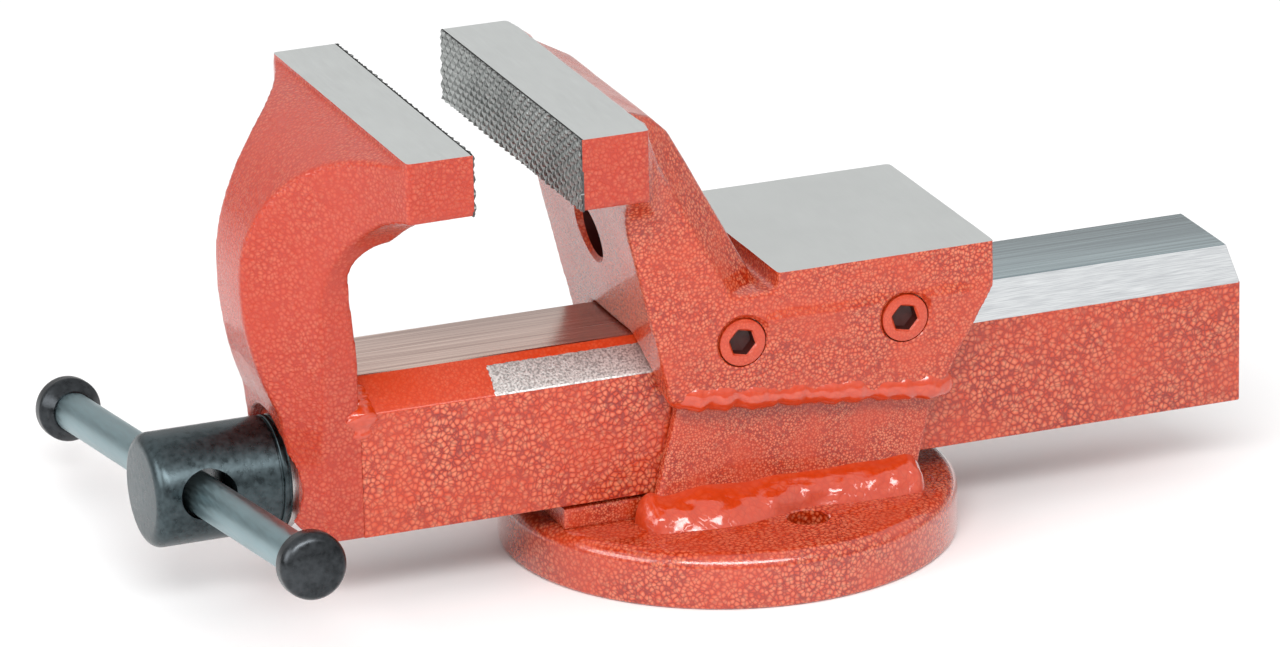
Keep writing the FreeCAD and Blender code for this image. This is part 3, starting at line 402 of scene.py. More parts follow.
def make_slide_bevel(name):
    """Bevel of the slide: painted near the front block, then a bare patch under a painted band."""
    material, tree, shader = new_material(name)
    color, bump = paint_layers(tree, 1.2 * MM, 0.1, 0.03)
    here = place_of(tree)
    ragged = node(tree, "TexNoise", {"Vector": here, "Scale": 700.0, "Detail": 3.0})
    ragged = maths(tree, "MULTIPLY", maths(tree, "SUBTRACT", ragged, 0.5), 1.6 * MM)
    apart = tree.nodes.new("ShaderNodeSeparateXYZ")
    tree.links.new(here, apart.inputs[0])
    along = maths(tree, "ADD", apart.outputs[0], ragged)
    up = maths(tree, "ADD", apart.outputs[2], maths(tree, "MULTIPLY", ragged, 0.4))
    front = maths(tree, "LESS_THAN", along, PATCH_FRONT)
    band = maths(tree, "MULTIPLY", maths(tree, "LESS_THAN", along, PATCH_REAR),
                 maths(tree, "GREATER_THAN", up, BAND_FOOT))
    painted = maths(tree, "MAXIMUM", front, band)
    lines = node(tree, "TexNoise", {"Vector": place_of(tree, (2, 60, 60)), "Scale": 60.0, "Detail": 5.0})
    grit = node(tree, "TexNoise", {"Vector": here, "Scale": 1400.0, "Detail": 3.0})
    matt = maths(tree, "LESS_THAN", along, PATCH_REAR)
    bare = mix(tree, ramp(tree, lines, [(0.35, 0.0), (0.65, 1.0)]), (0.62, 0.64, 0.66), (0.86, 0.88, 0.89))
    gritty = mix(tree, ramp(tree, grit, [(0.35, 0.0), (0.6, 1.0)]), (0.30, 0.29, 0.28), (0.66, 0.65, 0.63))
    bare = mix(tree, matt, bare, gritty)
    tree.links.new(mix(tree, painted, bare, color), shader.inputs["Base Color"])
    tree.links.new(maths(tree, "SUBTRACT", 1.0, painted), shader.inputs["Metallic"])
    rough = maths(tree, "ADD", 0.30, maths(tree, "MULTIPLY", matt, 0.18))
    tree.links.new(maths(tree, "SUBTRACT", rough, maths(tree, "MULTIPLY", painted, 0.16)),
                   shader.inputs["Roughness"])
    step = node(tree, "Bump", {"Height": painted, "Distance": 0.06 * MM, "Normal": bump})
    scratched = node(tree, "Bump", {"Height": lines, "Distance": 0.02 * MM, "Normal": step})
    tree.links.new(scratched, shader.inputs["Normal"])
    return material


def make_slide_top(name):
    """Brushed top of the slide: warm in front of the saddle, where a reflection of the red neck and jaw is
    painted into its colour, and blue-grey behind it.
    """
    material, tree, shader = new_material(name)
    lines = node(tree, "TexNoise", {"Vector": place_of(tree, (0.6, 60, 60)), "Scale": 22.0, "Detail": 6.0})
    apart = tree.nodes.new("ShaderNodeSeparateXYZ")
    tree.links.new(place_of(tree), apart.inputs[0])
    rear = node(tree, "MapRange", {"Value": apart.outputs[0], 1: -0.04, 2: 0.06, 3: 0.0, 4: 1.0})
    streaks = ramp(tree, lines, [(0.36, 0.0), (0.62, 1.0)])
    # Painted reflection: the warm streaks in front of the saddle stand for the red paint mirrored in the
    # steel.
    painted_red_reflection = mix(tree, streaks, (0.42, 0.29, 0.245), (0.70, 0.53, 0.46))
    cool = mix(tree, streaks, (0.25, 0.31, 0.33), (0.40, 0.48, 0.50))
    tree.links.new(mix(tree, rear, painted_red_reflection, cool), shader.inputs["Base Color"])
    rough = node(tree, "MapRange", {"Value": lines, 1: 0.3, 2: 0.7, 3: 0.14, 4: 0.28})
    tree.links.new(rough, shader.inputs["Roughness"])
    tree.links.new(node(tree, "Bump", {"Height": lines, "Distance": 0.06 * MM}), shader.inputs["Normal"])
    shader.inputs["Metallic"].default_value = 1.0
    return material


PAINT = make_paint("hammered_red", 1.15 * MM, 0.38, 0.10)
# Painted shade: a darker copy of the red paint, with a weaker painted highlight, for the jaws.
SHADED_JAW_PAINT = make_paint("hammered_red_jaw_shaded", 1.3 * MM, 0.16, 0.12, coat=0.3, red=SHADED_JAW_RED)
BASE_PAINT = make_paint("hammered_red_base", 1.4 * MM, 0.40, 0.05, 0.2, 1.0)
FINE_PAINT = make_paint("hammered_red_fine", 0.8 * MM, 0.45, 0.08)
COARSE_PAINT = make_paint("hammered_red_coarse", 1.6 * MM, 0.42, 0.13)
WELD_PAINT = make_paint("smooth_red", 2.2 * MM, 0.05, 0.04, 0.16, 1.0)
SCREW_PAINT = make_paint("screw_red", 0.9 * MM, 0.12, 0.05, 0.3)
GROUND = make_steel("ground_steel", (0.66, 0.68, 0.67), (60, 2, 60), 0.42, 0.008 * MM, 0.03)
SLIDE_TOP_STEEL = make_slide_top("brushed_slide")
BEVEL_STEEL = make_slide_bevel("slide_bevel")
TEETH = make_steel("serrated_steel", (0.42, 0.44, 0.43), (20, 20, 20), 0.34, 0.03 * MM, 0.2)
# Painted shade: a near-black red for the insides of the set screws' sockets and of the neck's round hole.
RECESS_SHADE = make_steel("shaded_red", (0.07, 0.007, 0.004), (30, 30, 30), 0.42, 0.02 * MM, 0.2, metallic=0.0)
# Painted shade: a near-black steel for the faces deep between the teeth.
VALLEY_SHADE = make_steel("serration_valley_shade", (0.12, 0.12, 0.12), (20, 20, 20), 0.5, 0.03 * MM, 0.2)
TURNED = make_steel("turned_steel", (0.50, 0.50, 0.49), (60, 6, 6), 0.30)
BLACK = make_steel("black_oxide", (0.07, 0.092, 0.10), (12, 12, 12), 0.30, 0.05 * MM, 0.25)
KNOB_BLACK = make_steel("black_knob", (0.055, 0.06, 0.065), (12, 12, 12), 0.30, 0.05 * MM, 0.25)
BAR_STEEL = make_steel("bar_steel", (0.25, 0.35, 0.375), (30, 2, 30), 0.36, 0.02 * MM, 0.08)
IRON = make_steel("machined_iron", (0.28, 0.28, 0.28), (20, 20, 20), 0.5, 0.05 * MM, 0.2)


# Forgings

def forge(name, source, fillers, voxel=0.9 * MM, rounds=6, creases=()):
    """Copy of a CAD node with the fillers joined to it, its edges softened and its faces wavy."""
    bm = bmesh.new()
    bm.from_mesh(NODES[source].data)
    bmesh.ops.remove_doubles(bm, verts=bm.verts, dist=0.001 * MM)
    for add, *arguments in fillers:
        add(bm, *arguments)
    piece = new_object(name, bm)
    remesh = piece.modifiers.new("remesh", "REMESH")
    remesh.mode = "VOXEL"
    remesh.voxel_size = voxel
    smooth = piece.modifiers.new("soften", "SMOOTH")
    smooth.factor = 0.5
    smooth.iterations = rounds
    apply_modifiers(piece)
    moved = []
    for place, normal in [(vertex.co.copy(), vertex.normal.copy()) for vertex in piece.data.vertices]:
        wave = noise.noise(place / FINE_WAVE) * 0.10 * MM + noise.noise(place / LONG_WAVE) * 0.22 * MM
        for depth_at in creases:
            wave -= depth_at(place)
        moved.extend(place + normal * wave)
    piece.data.vertices.foreach_set("co", moved)
    piece.data.update()
    return piece


def guide_cutter(low_x, high_x):
    """The slide's own section grown by the guides' clearance, open at the bottom."""
    half = SLIDE_HALF + GUIDE_GAP
    foot = SLIDE_HIGH.z - SLIDE_BEVEL + GUIDE_GAP / 2
    top = SLIDE_HIGH.z + GUIDE_GAP
    flat = SLIDE_FLAT + GUIDE_GAP / 2
    low = SLIDE_LOW.z - GUIDE_GAP
    section = [(-half, low), (half, low), (half, foot), (flat, top), (-flat, top), (-half, foot)]
    return solid("guide_cutter", add_prism, section, lambda p, end: ((low_x, high_x)[end], p[0], p[1]))


def saddle_creases(place):
    """Faint forging creases along the saddle's sides."""
    if abs(place.y) < SADDLE_HALF - 4 * MM or not CREASES_START < place.x < CREASES_END:
        return 0
    fade = min((place.x - CREASES_START) / (16 * MM), (CREASES_END - place.x) / (12 * MM), 1)
    depth = 0
    for height, fall, width, deepest in CREASES:
        line = height * MM - fall * place.x - noise.noise(place / (14 * MM)) * 0.8 * MM
        offset = (place.z - line) / (width * MM)
        depth += deepest * MM * math.exp(-offset * offset)
    return depth * fade * fade * (3 - 2 * fade)


def seam_height(x):
    """Height of the seam between saddle and trough, which falls towards the rear."""
    return SEAM_HEIGHT - SEAM_FALL * x


def make_fixed_jaw():
    """Saddle, neck, anvil and fixed jaw. The fillers close its holes and keep its ground edges sharp
    while the rest is softened, and the cutters then make the faces and holes."""
    hole_mouth = Vector((NECK_FRONT, 0, FACE_HOLE_Z)) - NECK_LEAN * 0.1 * MM
    hole_plug = rod(0, -15 * MM, 10.5 * MM)
    screw_plug = rod(0, 9.6 * MM, 9 * MM)
    fillers = [
        (add_box, (FIXED_FACE - PROUD, -JAW_HALF, FIXED_JAW_FOOT),
         (FIXED_JAW_BACK, JAW_HALF, JAW_TOP + PROUD)),
        (add_box, (ANVIL_FRONT, -SADDLE_HALF, ANVIL_TOP - PROUD),
         (ANVIL_REAR, SADDLE_HALF, ANVIL_TOP + PROUD)),
        (add_lathe, hole_plug, hole_mouth, NECK_LEAN)]
    for x in SET_SCREWS:
        for side in (-1, 1):
            start = Vector((x, side * 30 * MM, SET_SCREW_Z))
            fillers.append((add_lathe, screw_plug, start, Y * side))
    piece = forge("fixed_jaw_forging", "fixed_jaw", fillers, creases=(saddle_creases,))
    mouth_depth = 2.2 * MM
    mouth = [(-4 * MM, 0), (-4 * MM, 14 * MM), (mouth_depth, FACE_HOLE_RADIUS - 0.4 * MM), (mouth_depth, 0)]
    cutters = [
        solid("top_cutter", add_box, (-FAR, -FAR, JAW_TOP), (FAR, FAR, JAW_TOP + 2 * PROUD)),
        solid("face_cutter", add_box, (FIXED_FACE - 2 * PROUD, -FAR, FIXED_JAW_FOOT - 9 * MM),
              (FIXED_FACE, FAR, JAW_TOP + PROUD)),
        solid("anvil_cutter", add_box, (-1 * MM, -FAR, ANVIL_TOP), (FAR, FAR, ANVIL_TOP + 2 * PROUD)),
        guide_cutter(-FAR, FAR),
        solid("hole_cutter", add_lathe, rod(0, -FACE_HOLE_LENGTH, FACE_HOLE_RADIUS),
              Vector((FACE_HOLE_END, 0, FACE_HOLE_Z)), X),
        solid("mouth_cutter", add_lathe, mouth, hole_mouth, -NECK_LEAN)]
    gap = SET_SCREW_RADIUS + SET_SCREW_GAP
    straight, end = 15.6 * MM, 18 * MM
    bore = [(0, 0), (0, gap), (straight, gap), (end, gap + end - straight), (end, 0)]
    for x in SET_SCREWS:
        for side in (-1, 1):
            origin = Vector((x, side * (SADDLE_HALF - 17 * MM), SET_SCREW_Z))
            cutters.append(solid("bore_cutter", add_lathe, bore, origin, Y * side, segments=64))
    cut(piece, cutters)
    paint, ground, teeth, hole, shaded_jaw_paint = range(5)

    def choose(centre, normal):
        if normal.z > 0.99 and min(abs(centre.z - JAW_TOP), abs(centre.z - ANVIL_TOP)) < ON_PLANE:
            return ground
        from_axis = math.hypot(centre.y, centre.z - FACE_HOLE_Z)
        # Painted shade inside the round hole.
        if from_axis < FACE_HOLE_RADIUS and centre.x < FACE_HOLE_END + 0.1 * MM and normal.x < 0.3:
            return hole
        if normal.x < -0.99 and abs(centre.x - FIXED_FACE) < ON_PLANE:
            return teeth
        # The jaw block takes the darker copy of the red paint: painted shade.
        return shaded_jaw_paint if centre.z > FIXED_JAW_FOOT and centre.x < FIXED_JAW_BACK else paint

    shade(piece)
    dress(piece, [PAINT, GROUND, TEETH, RECESS_SHADE, SHADED_JAW_PAINT], choose)
    settle(piece, "fixed_body", "red_paint", "fixed_jaw")


def make_moving_jaw():
    """Moving jaw, its curved neck and the front block."""
    fillers = [
        (add_box, (MOVING_JAW_BACK, -JAW_HALF, MOVING_JAW_FOOT),
         (MOVING_FACE + PROUD, JAW_HALF, JAW_TOP + PROUD)),
        (add_box, (SLIDE_LOW.x - 8 * MM, -SLIDE_HALF, SLIDE_LOW.z),
         (SLIDE_LOW.x + PROUD, SLIDE_HALF, SLIDE_HIGH.z - SLIDE_BEVEL))]
    piece = forge("moving_jaw_forging", "moving_jaw", fillers)
    spot_depth = 20 * MM
    spot = Vector((WASHER_HIGH.x - spot_depth, 0, AXIS_Z))
    cut(piece, [
        solid("top_cutter", add_box, (-2 * FAR, -FAR, JAW_TOP), (0, FAR, JAW_TOP + 2 * PROUD)),
        solid("face_cutter", add_box, (MOVING_FACE, -FAR, MOVING_JAW_FOOT - 9 * MM),
              (MOVING_FACE + 2 * PROUD, FAR, JAW_TOP + PROUD)),
        solid("rear_cutter", add_box, (SLIDE_LOW.x, -FAR, 0),
              (MOVING_FACE + PROUD, FAR, SLIDE_HIGH.z + 5 * MM)),
        solid("spot_cutter", add_lathe, rod(0, spot_depth, 21 * MM), spot, X),
        solid("bore_cutter", add_lathe, rod(0, 60 * MM, SCREW_RADIUS + 0.05 * MM), spot, X)])
    paint, ground, teeth = range(3)

    def choose(centre, normal):
        if normal.z > 0.99 and abs(centre.z - JAW_TOP) < ON_PLANE:
            return ground
        return teeth if normal.x > 0.99 and abs(centre.x - MOVING_FACE) < ON_PLANE else paint

    shade(piece)
    # The whole moving jaw takes the darker copy of the red paint: painted shade.
    dress(piece, [SHADED_JAW_PAINT, GROUND, TEETH], choose)
    settle(piece, "moving_jaw_body", "red_paint", "moving_jaw")


def make_trough():
    """Trough under the slide."""
    piece = forge("trough_forging", "lower_housing", [], 0.8 * MM, 4)
    cut(piece, [guide_cutter(-FAR, FAR)])
    shade(piece)
    dress(piece, [FINE_PAINT])
    settle(piece, "fixed_body", "red_paint", "lower_housing")


def make_base_plate():
    """Round plate with a rounded rim, the bolt holes and the wells of the nut's screws."""
    edge, rim = 1.2 * MM, 5 * MM
    profile = [(0, 0), (0, BASE_RADIUS - edge), *arc(edge, BASE_RADIUS - edge, edge, 180, 90),
               *arc(BASE_TOP - rim, BASE_RADIUS - rim, rim, 90, 0, 14), (BASE_TOP, 0)]
    profile = [point for i, point in enumerate(profile) if i == 0 or point != profile[i - 1]]
    piece = solid("base_disc", add_lathe, profile, Vector(), Z, segments=256)
    flare = 1.2 * MM
    bolt_top = BASE_TOP + 0.2 * MM
    bolt = [(0, 0), (0, BOLT_HOLE_RADIUS), (bolt_top, BOLT_HOLE_RADIUS),
            (bolt_top + flare, BOLT_HOLE_RADIUS + flare), (bolt_top + flare, 0)]
    well_radius, well_top = 5.5 * MM, 9 * MM
    shank_radius, shank_top = 3.1 * MM, 30 * MM
    well = [(0, 0), (0, well_radius), (well_top, well_radius), (well_top, shank_radius),
            (shank_top, shank_radius), (shank_top, 0)]
    cutters = []
    for side in (-1, 1):
        origin = Vector((BOLT_X, side * BOLT_Y, -0.6 * MM))
        cutters.append(solid("bolt_cutter", add_lathe, bolt, origin, Z, segments=64))
    for x in (-NUT_SCREW_X, NUT_SCREW_X):
        for y in (-NUT_SCREW_Y, NUT_SCREW_Y):
            cutters.append(solid("well_cutter", add_lathe, well, Vector((x, y, -1 * MM)), Z, segments=48))
    cut(piece, cutters)
    shade(piece, 30)
    dress(piece, [BASE_PAINT])
    settle(piece, "fixed_body", "red_paint", "base_plate")


# Slide

def make_slide():
    """Hollow slide with bevelled upper edges, open underneath."""
    low, top = SLIDE_LOW.z, SLIDE_HIGH.z
    roof, shoulder = top - SLIDE_ROOF, top - SLIDE_BEVEL
    section = [
        (-SLIDE_HALF, low), (-SLIDE_INNER, low), (-SLIDE_INNER, roof), (SLIDE_INNER, roof),
        (SLIDE_INNER, low), (SLIDE_HALF, low), (SLIDE_HALF, shoulder), (SLIDE_FLAT, top),
        (-SLIDE_FLAT, top), (-SLIDE_HALF, shoulder)]
    ends = (SLIDE_LOW.x, SLIDE_HIGH.x)
    piece = solid("slide_prism", add_prism, section, lambda p, end: (ends[end], p[0], p[1]))
    bevel = piece.modifiers.new("edges", "BEVEL")
    bevel.width = 0.6 * MM
    bevel.segments = 3
    bevel.limit_method = "ANGLE"
    bevel.angle_limit = math.radians(25)
    apply_modifiers(piece)
    paint, flat_steel, bevel_steel = range(3)

    def choose(centre, normal):
        if centre.z < shoulder - 0.2 * MM or normal.z < 0.4:
            return paint
        return flat_steel if normal.z > 0.93 else bevel_steel

    shade(piece, 28)
    dress(piece, [COARSE_PAINT, SLIDE_TOP_STEEL, BEVEL_STEEL], choose)
    settle(piece, "moving_jaw_body", "red_paint", "slide_bar")


# Serrations of the gripping faces

def tooth_row(distance, pitch):
    """Height between 0 and 1 of a row of ridges, at a distance across the rows."""
    share = (distance / pitch) % 1.0
    return 1 - abs(2 * share - 1)


def make_serration(name, body, face_x, outwards, foot, direction):
    """Crossed curved rows of small teeth, as a thin plate with its back inside the jaw, with painted shade on
    the faces deep in the valleys.
    """
    step, height, back = 0.36 * MM, 0.78 * MM, 0.4 * MM
    first_pitch, second_pitch = 3.6 * MM, 2.9 * MM
    columns = int(2 * JAW_HALF / step)
    rows = int((JAW_TOP - foot) / step)
    middle = Vector((0, (foot + JAW_TOP) / 2)).y
    first_centre = Vector((direction * 210 * MM, middle - 160 * MM))
    second_centre = Vector((-direction * 250 * MM, middle - 330 * MM))
    bm = bmesh.new()
    front, rear = [], []
    for i in range(columns + 1):
        y = -JAW_HALF + 2 * JAW_HALF * i / columns
        front.append([])
        rear.append([])
        for j in range(rows + 1):
            z = foot + (JAW_TOP - foot) * j / rows
            here = Vector((y, z))
            first = tooth_row((here - first_centre).length, first_pitch)
            second = tooth_row((here - second_centre).length, second_pitch)
            tooth = min(first * 1.5, 0.12 + second * 1.3, 1.0) * height
            tooth += noise.noise(Vector((y, z, 0)) / (1.1 * MM)) * 0.04 * MM
            front[-1].append(bm.verts.new((face_x + outwards * max(tooth, 0.03 * MM), y, z)))
            rear[-1].append(bm.verts.new((face_x - outwards * back, y, z)))
    for i in range(columns):
        for j in range(rows):
            bm.faces.new((front[i][j], front[i + 1][j], front[i + 1][j + 1], front[i][j + 1]))
            bm.faces.new((rear[i][j], rear[i][j + 1], rear[i + 1][j + 1], rear[i + 1][j]))
    rim = [(i, 0) for i in range(columns)] + [(columns, j) for j in range(rows)]
    rim += [(i, rows) for i in range(columns, 0, -1)] + [(0, j) for j in range(rows, 0, -1)]
    for (a, b), (c, d) in zip(rim, rim[1:] + rim[:1]):
        bm.faces.new((front[a][b], rear[a][b], rear[c][d], front[c][d]))
    bmesh.ops.recalc_face_normals(bm, faces=bm.faces)
    piece = new_object(name, bm)
    shade(piece, 50)
    # Faces lower than this in the valleys get painted shade.
    shade_depth = 0.22 * height
    dress(piece, [TEETH, VALLEY_SHADE], lambda centre, normal: int(abs(centre.x - face_x) < shade_depth))
    settle(piece, body, "bright_steel")


# Weld beads

def add_bead(bm, path, section_at, step=0.7 * MM, around=28):
    """Closed bead along a path of places. section_at(share, angle, place) gives the offset from the
    place, at a share of the way and an angle around the bead."""
    rings = []
    length = sum((b - a).length for a, b in zip(path, path[1:]))
    count = max(int(length / step), 4)
    travelled = [0.0]
    for a, b in zip(path, path[1:]):
        travelled.append(travelled[-1] + (b - a).length)
    for i in range(count + 1):
        distance = length * i / count
        k = max(index for index, passed in enumerate(travelled[:-1]) if passed <= distance + 1e-9)
        start, end = path[k], path[k + 1]
        place = start.lerp(end, (distance - travelled[k]) / (travelled[k + 1] - travelled[k]))
        ring = []
        for j in range(around):
            ring.append(bm.verts.new(place + section_at(i / count, 2 * math.pi * j / around, place)))
        rings.append(ring)
    made = []
    for first, second in zip(rings, rings[1:]):
        for j in range(around):
            m = (j + 1) % around
            made.append(bm.faces.new((first[j], first[m], second[m], second[j])))
    made.append(bm.faces.new(rings[0]))
    made.append(bm.faces.new(list(reversed(rings[-1]))))
    bmesh.ops.recalc_face_normals(bm, faces=made)


def taper(share, ends=0.05):
    """1 along the bead, falling to a small value at its two ends."""
    edge = min(share, 1 - share) / ends
    return max(math.sqrt(max(1 - (1 - min(edge, 1)) ** 2, 0)), 0.12)


def make_seam_beads():
    """One long bead on each side, in the corner between saddle and trough."""
    sunk, raised = 6.4 * MM, 2.0 * MM
    radius, slimmer = 5.6 * MM, 0.6 * MM
    bm = bmesh.new()
    for side in (-1, 1):
        path = [Vector((x, side * (SADDLE_HALF - sunk), seam_height(x) + raised))
                for x in (-34 * MM, -10 * MM, 20 * MM, 62 * MM)]

        def section_at(share, angle, place, side=side):
            size = (radius - slimmer * share) * taper(share, 0.08)
            lump = 1 + 0.26 * noise.noise(place / (6 * MM))
            lump += 0.10 * noise.noise(place / (2.4 * MM) + Z * angle)
            ripple = 1 + 0.025 * math.sin(place.x / (2.1 * MM) + math.sin(angle) * 1.2)
            ripple -= 0.12 * math.sin(angle)
            across, up = math.cos(angle) * size * lump * ripple, math.sin(angle) * size * 1.05 * lump
            return Vector((0, side * across, up))

        add_bead(bm, path, section_at)
    piece = new_object("seam_beads", bm)
    shade(piece, 60)
    dress(piece, [WELD_PAINT])
    settle(piece, "fixed_body", "red_paint", "seam_welds")


def hump(x, middle, width):
    """Smooth hump of height 1 around the middle."""
    return math.exp(-((x - middle) / width) ** 2)


def base_bead_reach(x):
    """How far out on the base plate the bead's lower edge lies. It narrows beside the bolt hole."""
    wide = 40.5 * MM + 3.5 * MM * hump(x, -16 * MM, 16 * MM)
    return wide - 2.6 * MM * hump(x, 12 * MM, 11 * MM)


def make_base_beads():
    """Broad lumpy bead between the trough's foot and the base plate, on each side."""
    bm = bmesh.new()
    around, count = 30, 140
    low_x, high_x = -42 * MM, 53 * MM
    root, crest = TROUGH_HALF - 3 * MM, TROUGH_HALF - 0.5 * MM
    foot = BASE_TOP - 0.6 * MM
    for side in (-1, 1):
        rings = []
        for i in range(count + 1):
            share = i / count
            x = low_x + (high_x - low_x) * share
            swell = taper(share, 0.06)
            reach = TROUGH_HALF + (base_bead_reach(x) - TROUGH_HALF) * swell
            height = BASE_TOP + (9.5 + 1.2 * noise.noise(Vector((x, 0, side)) / (13 * MM))) * MM * swell
            ring = [Vector((x, root, BASE_TOP - 1.5 * MM))]
            for j in range(around):
                t = j / (around - 1)
                bulge = math.sin(math.pi * t) * 1.7 * MM * swell
                y = reach + (crest - reach) * t
                z = foot + (height - foot) * t
                lump = noise.noise(Vector((x, y * 1.4, z + side)) / (5.5 * MM)) * 0.85 * MM
                lump += noise.noise(Vector((x, y, z)) / (2.2 * MM)) * 0.10 * MM
                lump += math.sin(x / (2.6 * MM) + 3.1 * t) * 0.08 * MM
                # Pushed outwards and upwards alike, at 45 degrees.
                push = (bulge + lump * math.sin(math.pi * min(t * 1.15, 1))) * 0.707
                ring.append(Vector((x, y + push, z + push)))
            ring.append(Vector((x, root, height)))
            rings.append([bm.verts.new((p.x, side * p.y, p.z)) for p in ring])
        made = []
        for first, second in zip(rings, rings[1:]):
            for j in range(len(first)):
                m = (j + 1) % len(first)
                made.append(bm.faces.new((first[j], first[m], second[m], second[j])))
        made.append(bm.faces.new(rings[0]))
        made.append(bm.faces.new(list(reversed(rings[-1]))))
        bmesh.ops.recalc_face_normals(bm, faces=made)
    piece = new_object("base_beads", bm)
    shade(piece, 60)
    dress(piece, [WELD_PAINT])
    settle(piece, "fixed_body", "red_paint", "base_welds")


def make_slide_beads():
    """Short beads where the slide's bevels meet the front block, running a little down its sides."""
    radius = 3.4 * MM
    x = SLIDE_LOW.x + 0.6 * MM
    bm = bmesh.new()
    for side in (-1, 1):
        path = [Vector((x, side * (SLIDE_FLAT - 1 * MM), SLIDE_HIGH.z - 0.6 * MM)),
                Vector((x, side * (SLIDE_HALF - 0.6 * MM), SLIDE_HIGH.z - SLIDE_BEVEL - 0.4 * MM)),
                Vector((x, side * (SLIDE_HALF - 1.2 * MM), SLIDE_HIGH.z - SLIDE_BEVEL - 9 * MM))]

        def section_at(share, angle, place, side=side):
            size = radius * taper(share, 0.35)
            lump = 1 + 0.35 * noise.noise(place / (2.3 * MM)) + 0.18 * noise.noise(place / MM + Z * angle)
            outwards = Vector((0, side * 0.67, 0.74)).lerp(Y * side, max(0, share * 2 - 1)).normalized()
            return (X * math.cos(angle) * 1.25 + outwards * math.sin(angle) * 0.62) * size * lump

        add_bead(bm, path, section_at, 0.4 * MM)
    piece = new_object("slide_beads", bm)
    shade(piece, 60)
    dress(piece, [WELD_PAINT])
    settle(piece, "moving_jaw_body", "red_paint", "slide_welds")


# Set screws

def add_set_screw(bm, origin, axis, length, segments=72):
    """Socket set screw. Each row holds a place along the axis, a radius and how far the row is
    from a circle (0) to a hexagon (1)."""
    bevel, flat, depth = 0.6 * MM, 3.8 * MM, 4.5 * MM
    rows = [(0, SET_SCREW_RADIUS, 0), (length - bevel, SET_SCREW_RADIUS, 0),
            (length - 0.3 * bevel, SET_SCREW_RADIUS - 0.3 * bevel, 0), (length, SET_SCREW_RADIUS - bevel, 0),
            (length, flat + bevel, 0.7), (length - bevel, flat, 1), (length - depth, flat, 1),
            (length - depth - bevel, 0.4 * flat, 1)]
    rings = []
    for along, radius, share in rows:
        ring = []
        for i in range(segments):
            angle = 2 * math.pi * i / segments
            corner = math.cos((angle + math.radians(12)) % math.radians(60) - math.radians(30))
            reach = radius * (1 - share + share / corner)
            outwards = X * math.cos(angle) + Z * math.sin(angle)
            ring.append(bm.verts.new(origin + axis * along + outwards * reach))
        rings.append(ring)
    made = [bm.faces.new(rings[0]), bm.faces.new(rings[-1])]
    for first, second in zip(rings, rings[1:]):
        for i in range(segments):
            j = (i + 1) % segments
            made.append(bm.faces.new((first[i], first[j], second[j], second[i])))
    bmesh.ops.recalc_face_normals(bm, faces=made)


def make_set_screws(side, node_name):
    """The two socket set screws of one side, painted over with the saddle."""
    inner = SLIDE_HALF + 6.6 * MM
    bm = bmesh.new()
    for x in SET_SCREWS:
        add_set_screw(bm, Vector((x, side * inner, SET_SCREW_Z)), Y * side, SET_SCREW_FACE - inner)
    piece = new_object("set_screws_left" if side > 0 else "set_screws_right", bm)

    def choose(centre, normal):
        middle = min(SET_SCREWS, key=lambda x: abs(x - centre.x))
        from_axis = math.hypot(centre.x - middle, centre.z - SET_SCREW_Z)
        # Painted shade on the faces inside the socket.
        return int(from_axis < SOCKET_REACH and abs(centre.y) < SET_SCREW_FACE - 0.7 * MM)

    shade(piece, 30)
    dress(piece, [SCREW_PAINT, RECESS_SHADE], choose)
    settle(piece, "fixed_body", "red_paint", node_name)


# Spindle and handle

def make_screw():
    """The spindle's screw: a plain journal in front and a trapezoidal thread behind the collar."""
    low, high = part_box("spindle_screw")
    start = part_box("retaining_collar")[1].x + 2 * MM
    around, step, run_in_length, end_bevel = 60, 0.42 * MM, 6 * MM, 1 * MM
    bm = bmesh.new()
    rings = []
    count = int((high.x - low.x) / step)
    for i in range(count + 1):
        x = low.x + (high.x - low.x) * i / count
        ring = []
        for j in range(around):
            angle = 2 * math.pi * j / around
            share = ((x - start) / SCREW_PITCH - angle / (2 * math.pi)) % 1.0
            groove = min(max((0.5 - abs(2 * share - 1)) * 2.4 + 0.5, 0), 1)
            run_in = min(max((x - start) / run_in_length, 0), 1)
            radius = SCREW_RADIUS - THREAD_DEPTH * groove * run_in
            if i in (0, count):
                radius -= end_bevel
            ring.append(bm.verts.new((x, radius * math.cos(angle), AXIS_Z + radius * math.sin(angle))))
        rings.append(ring)
    for first, second in zip(rings, rings[1:]):
        for j in range(around):
            m = (j + 1) % around
            bm.faces.new((first[j], first[m], second[m], second[j]))
    bm.faces.new(rings[0])
    bm.faces.new(list(reversed(rings[-1])))
    bmesh.ops.recalc_face_normals(bm, faces=bm.faces)
    piece = new_object("threaded_screw", bm)
    shade(piece, 40)
    dress(piece, [TURNED])
    settle(piece, "spindle", "bright_steel", "spindle_screw")


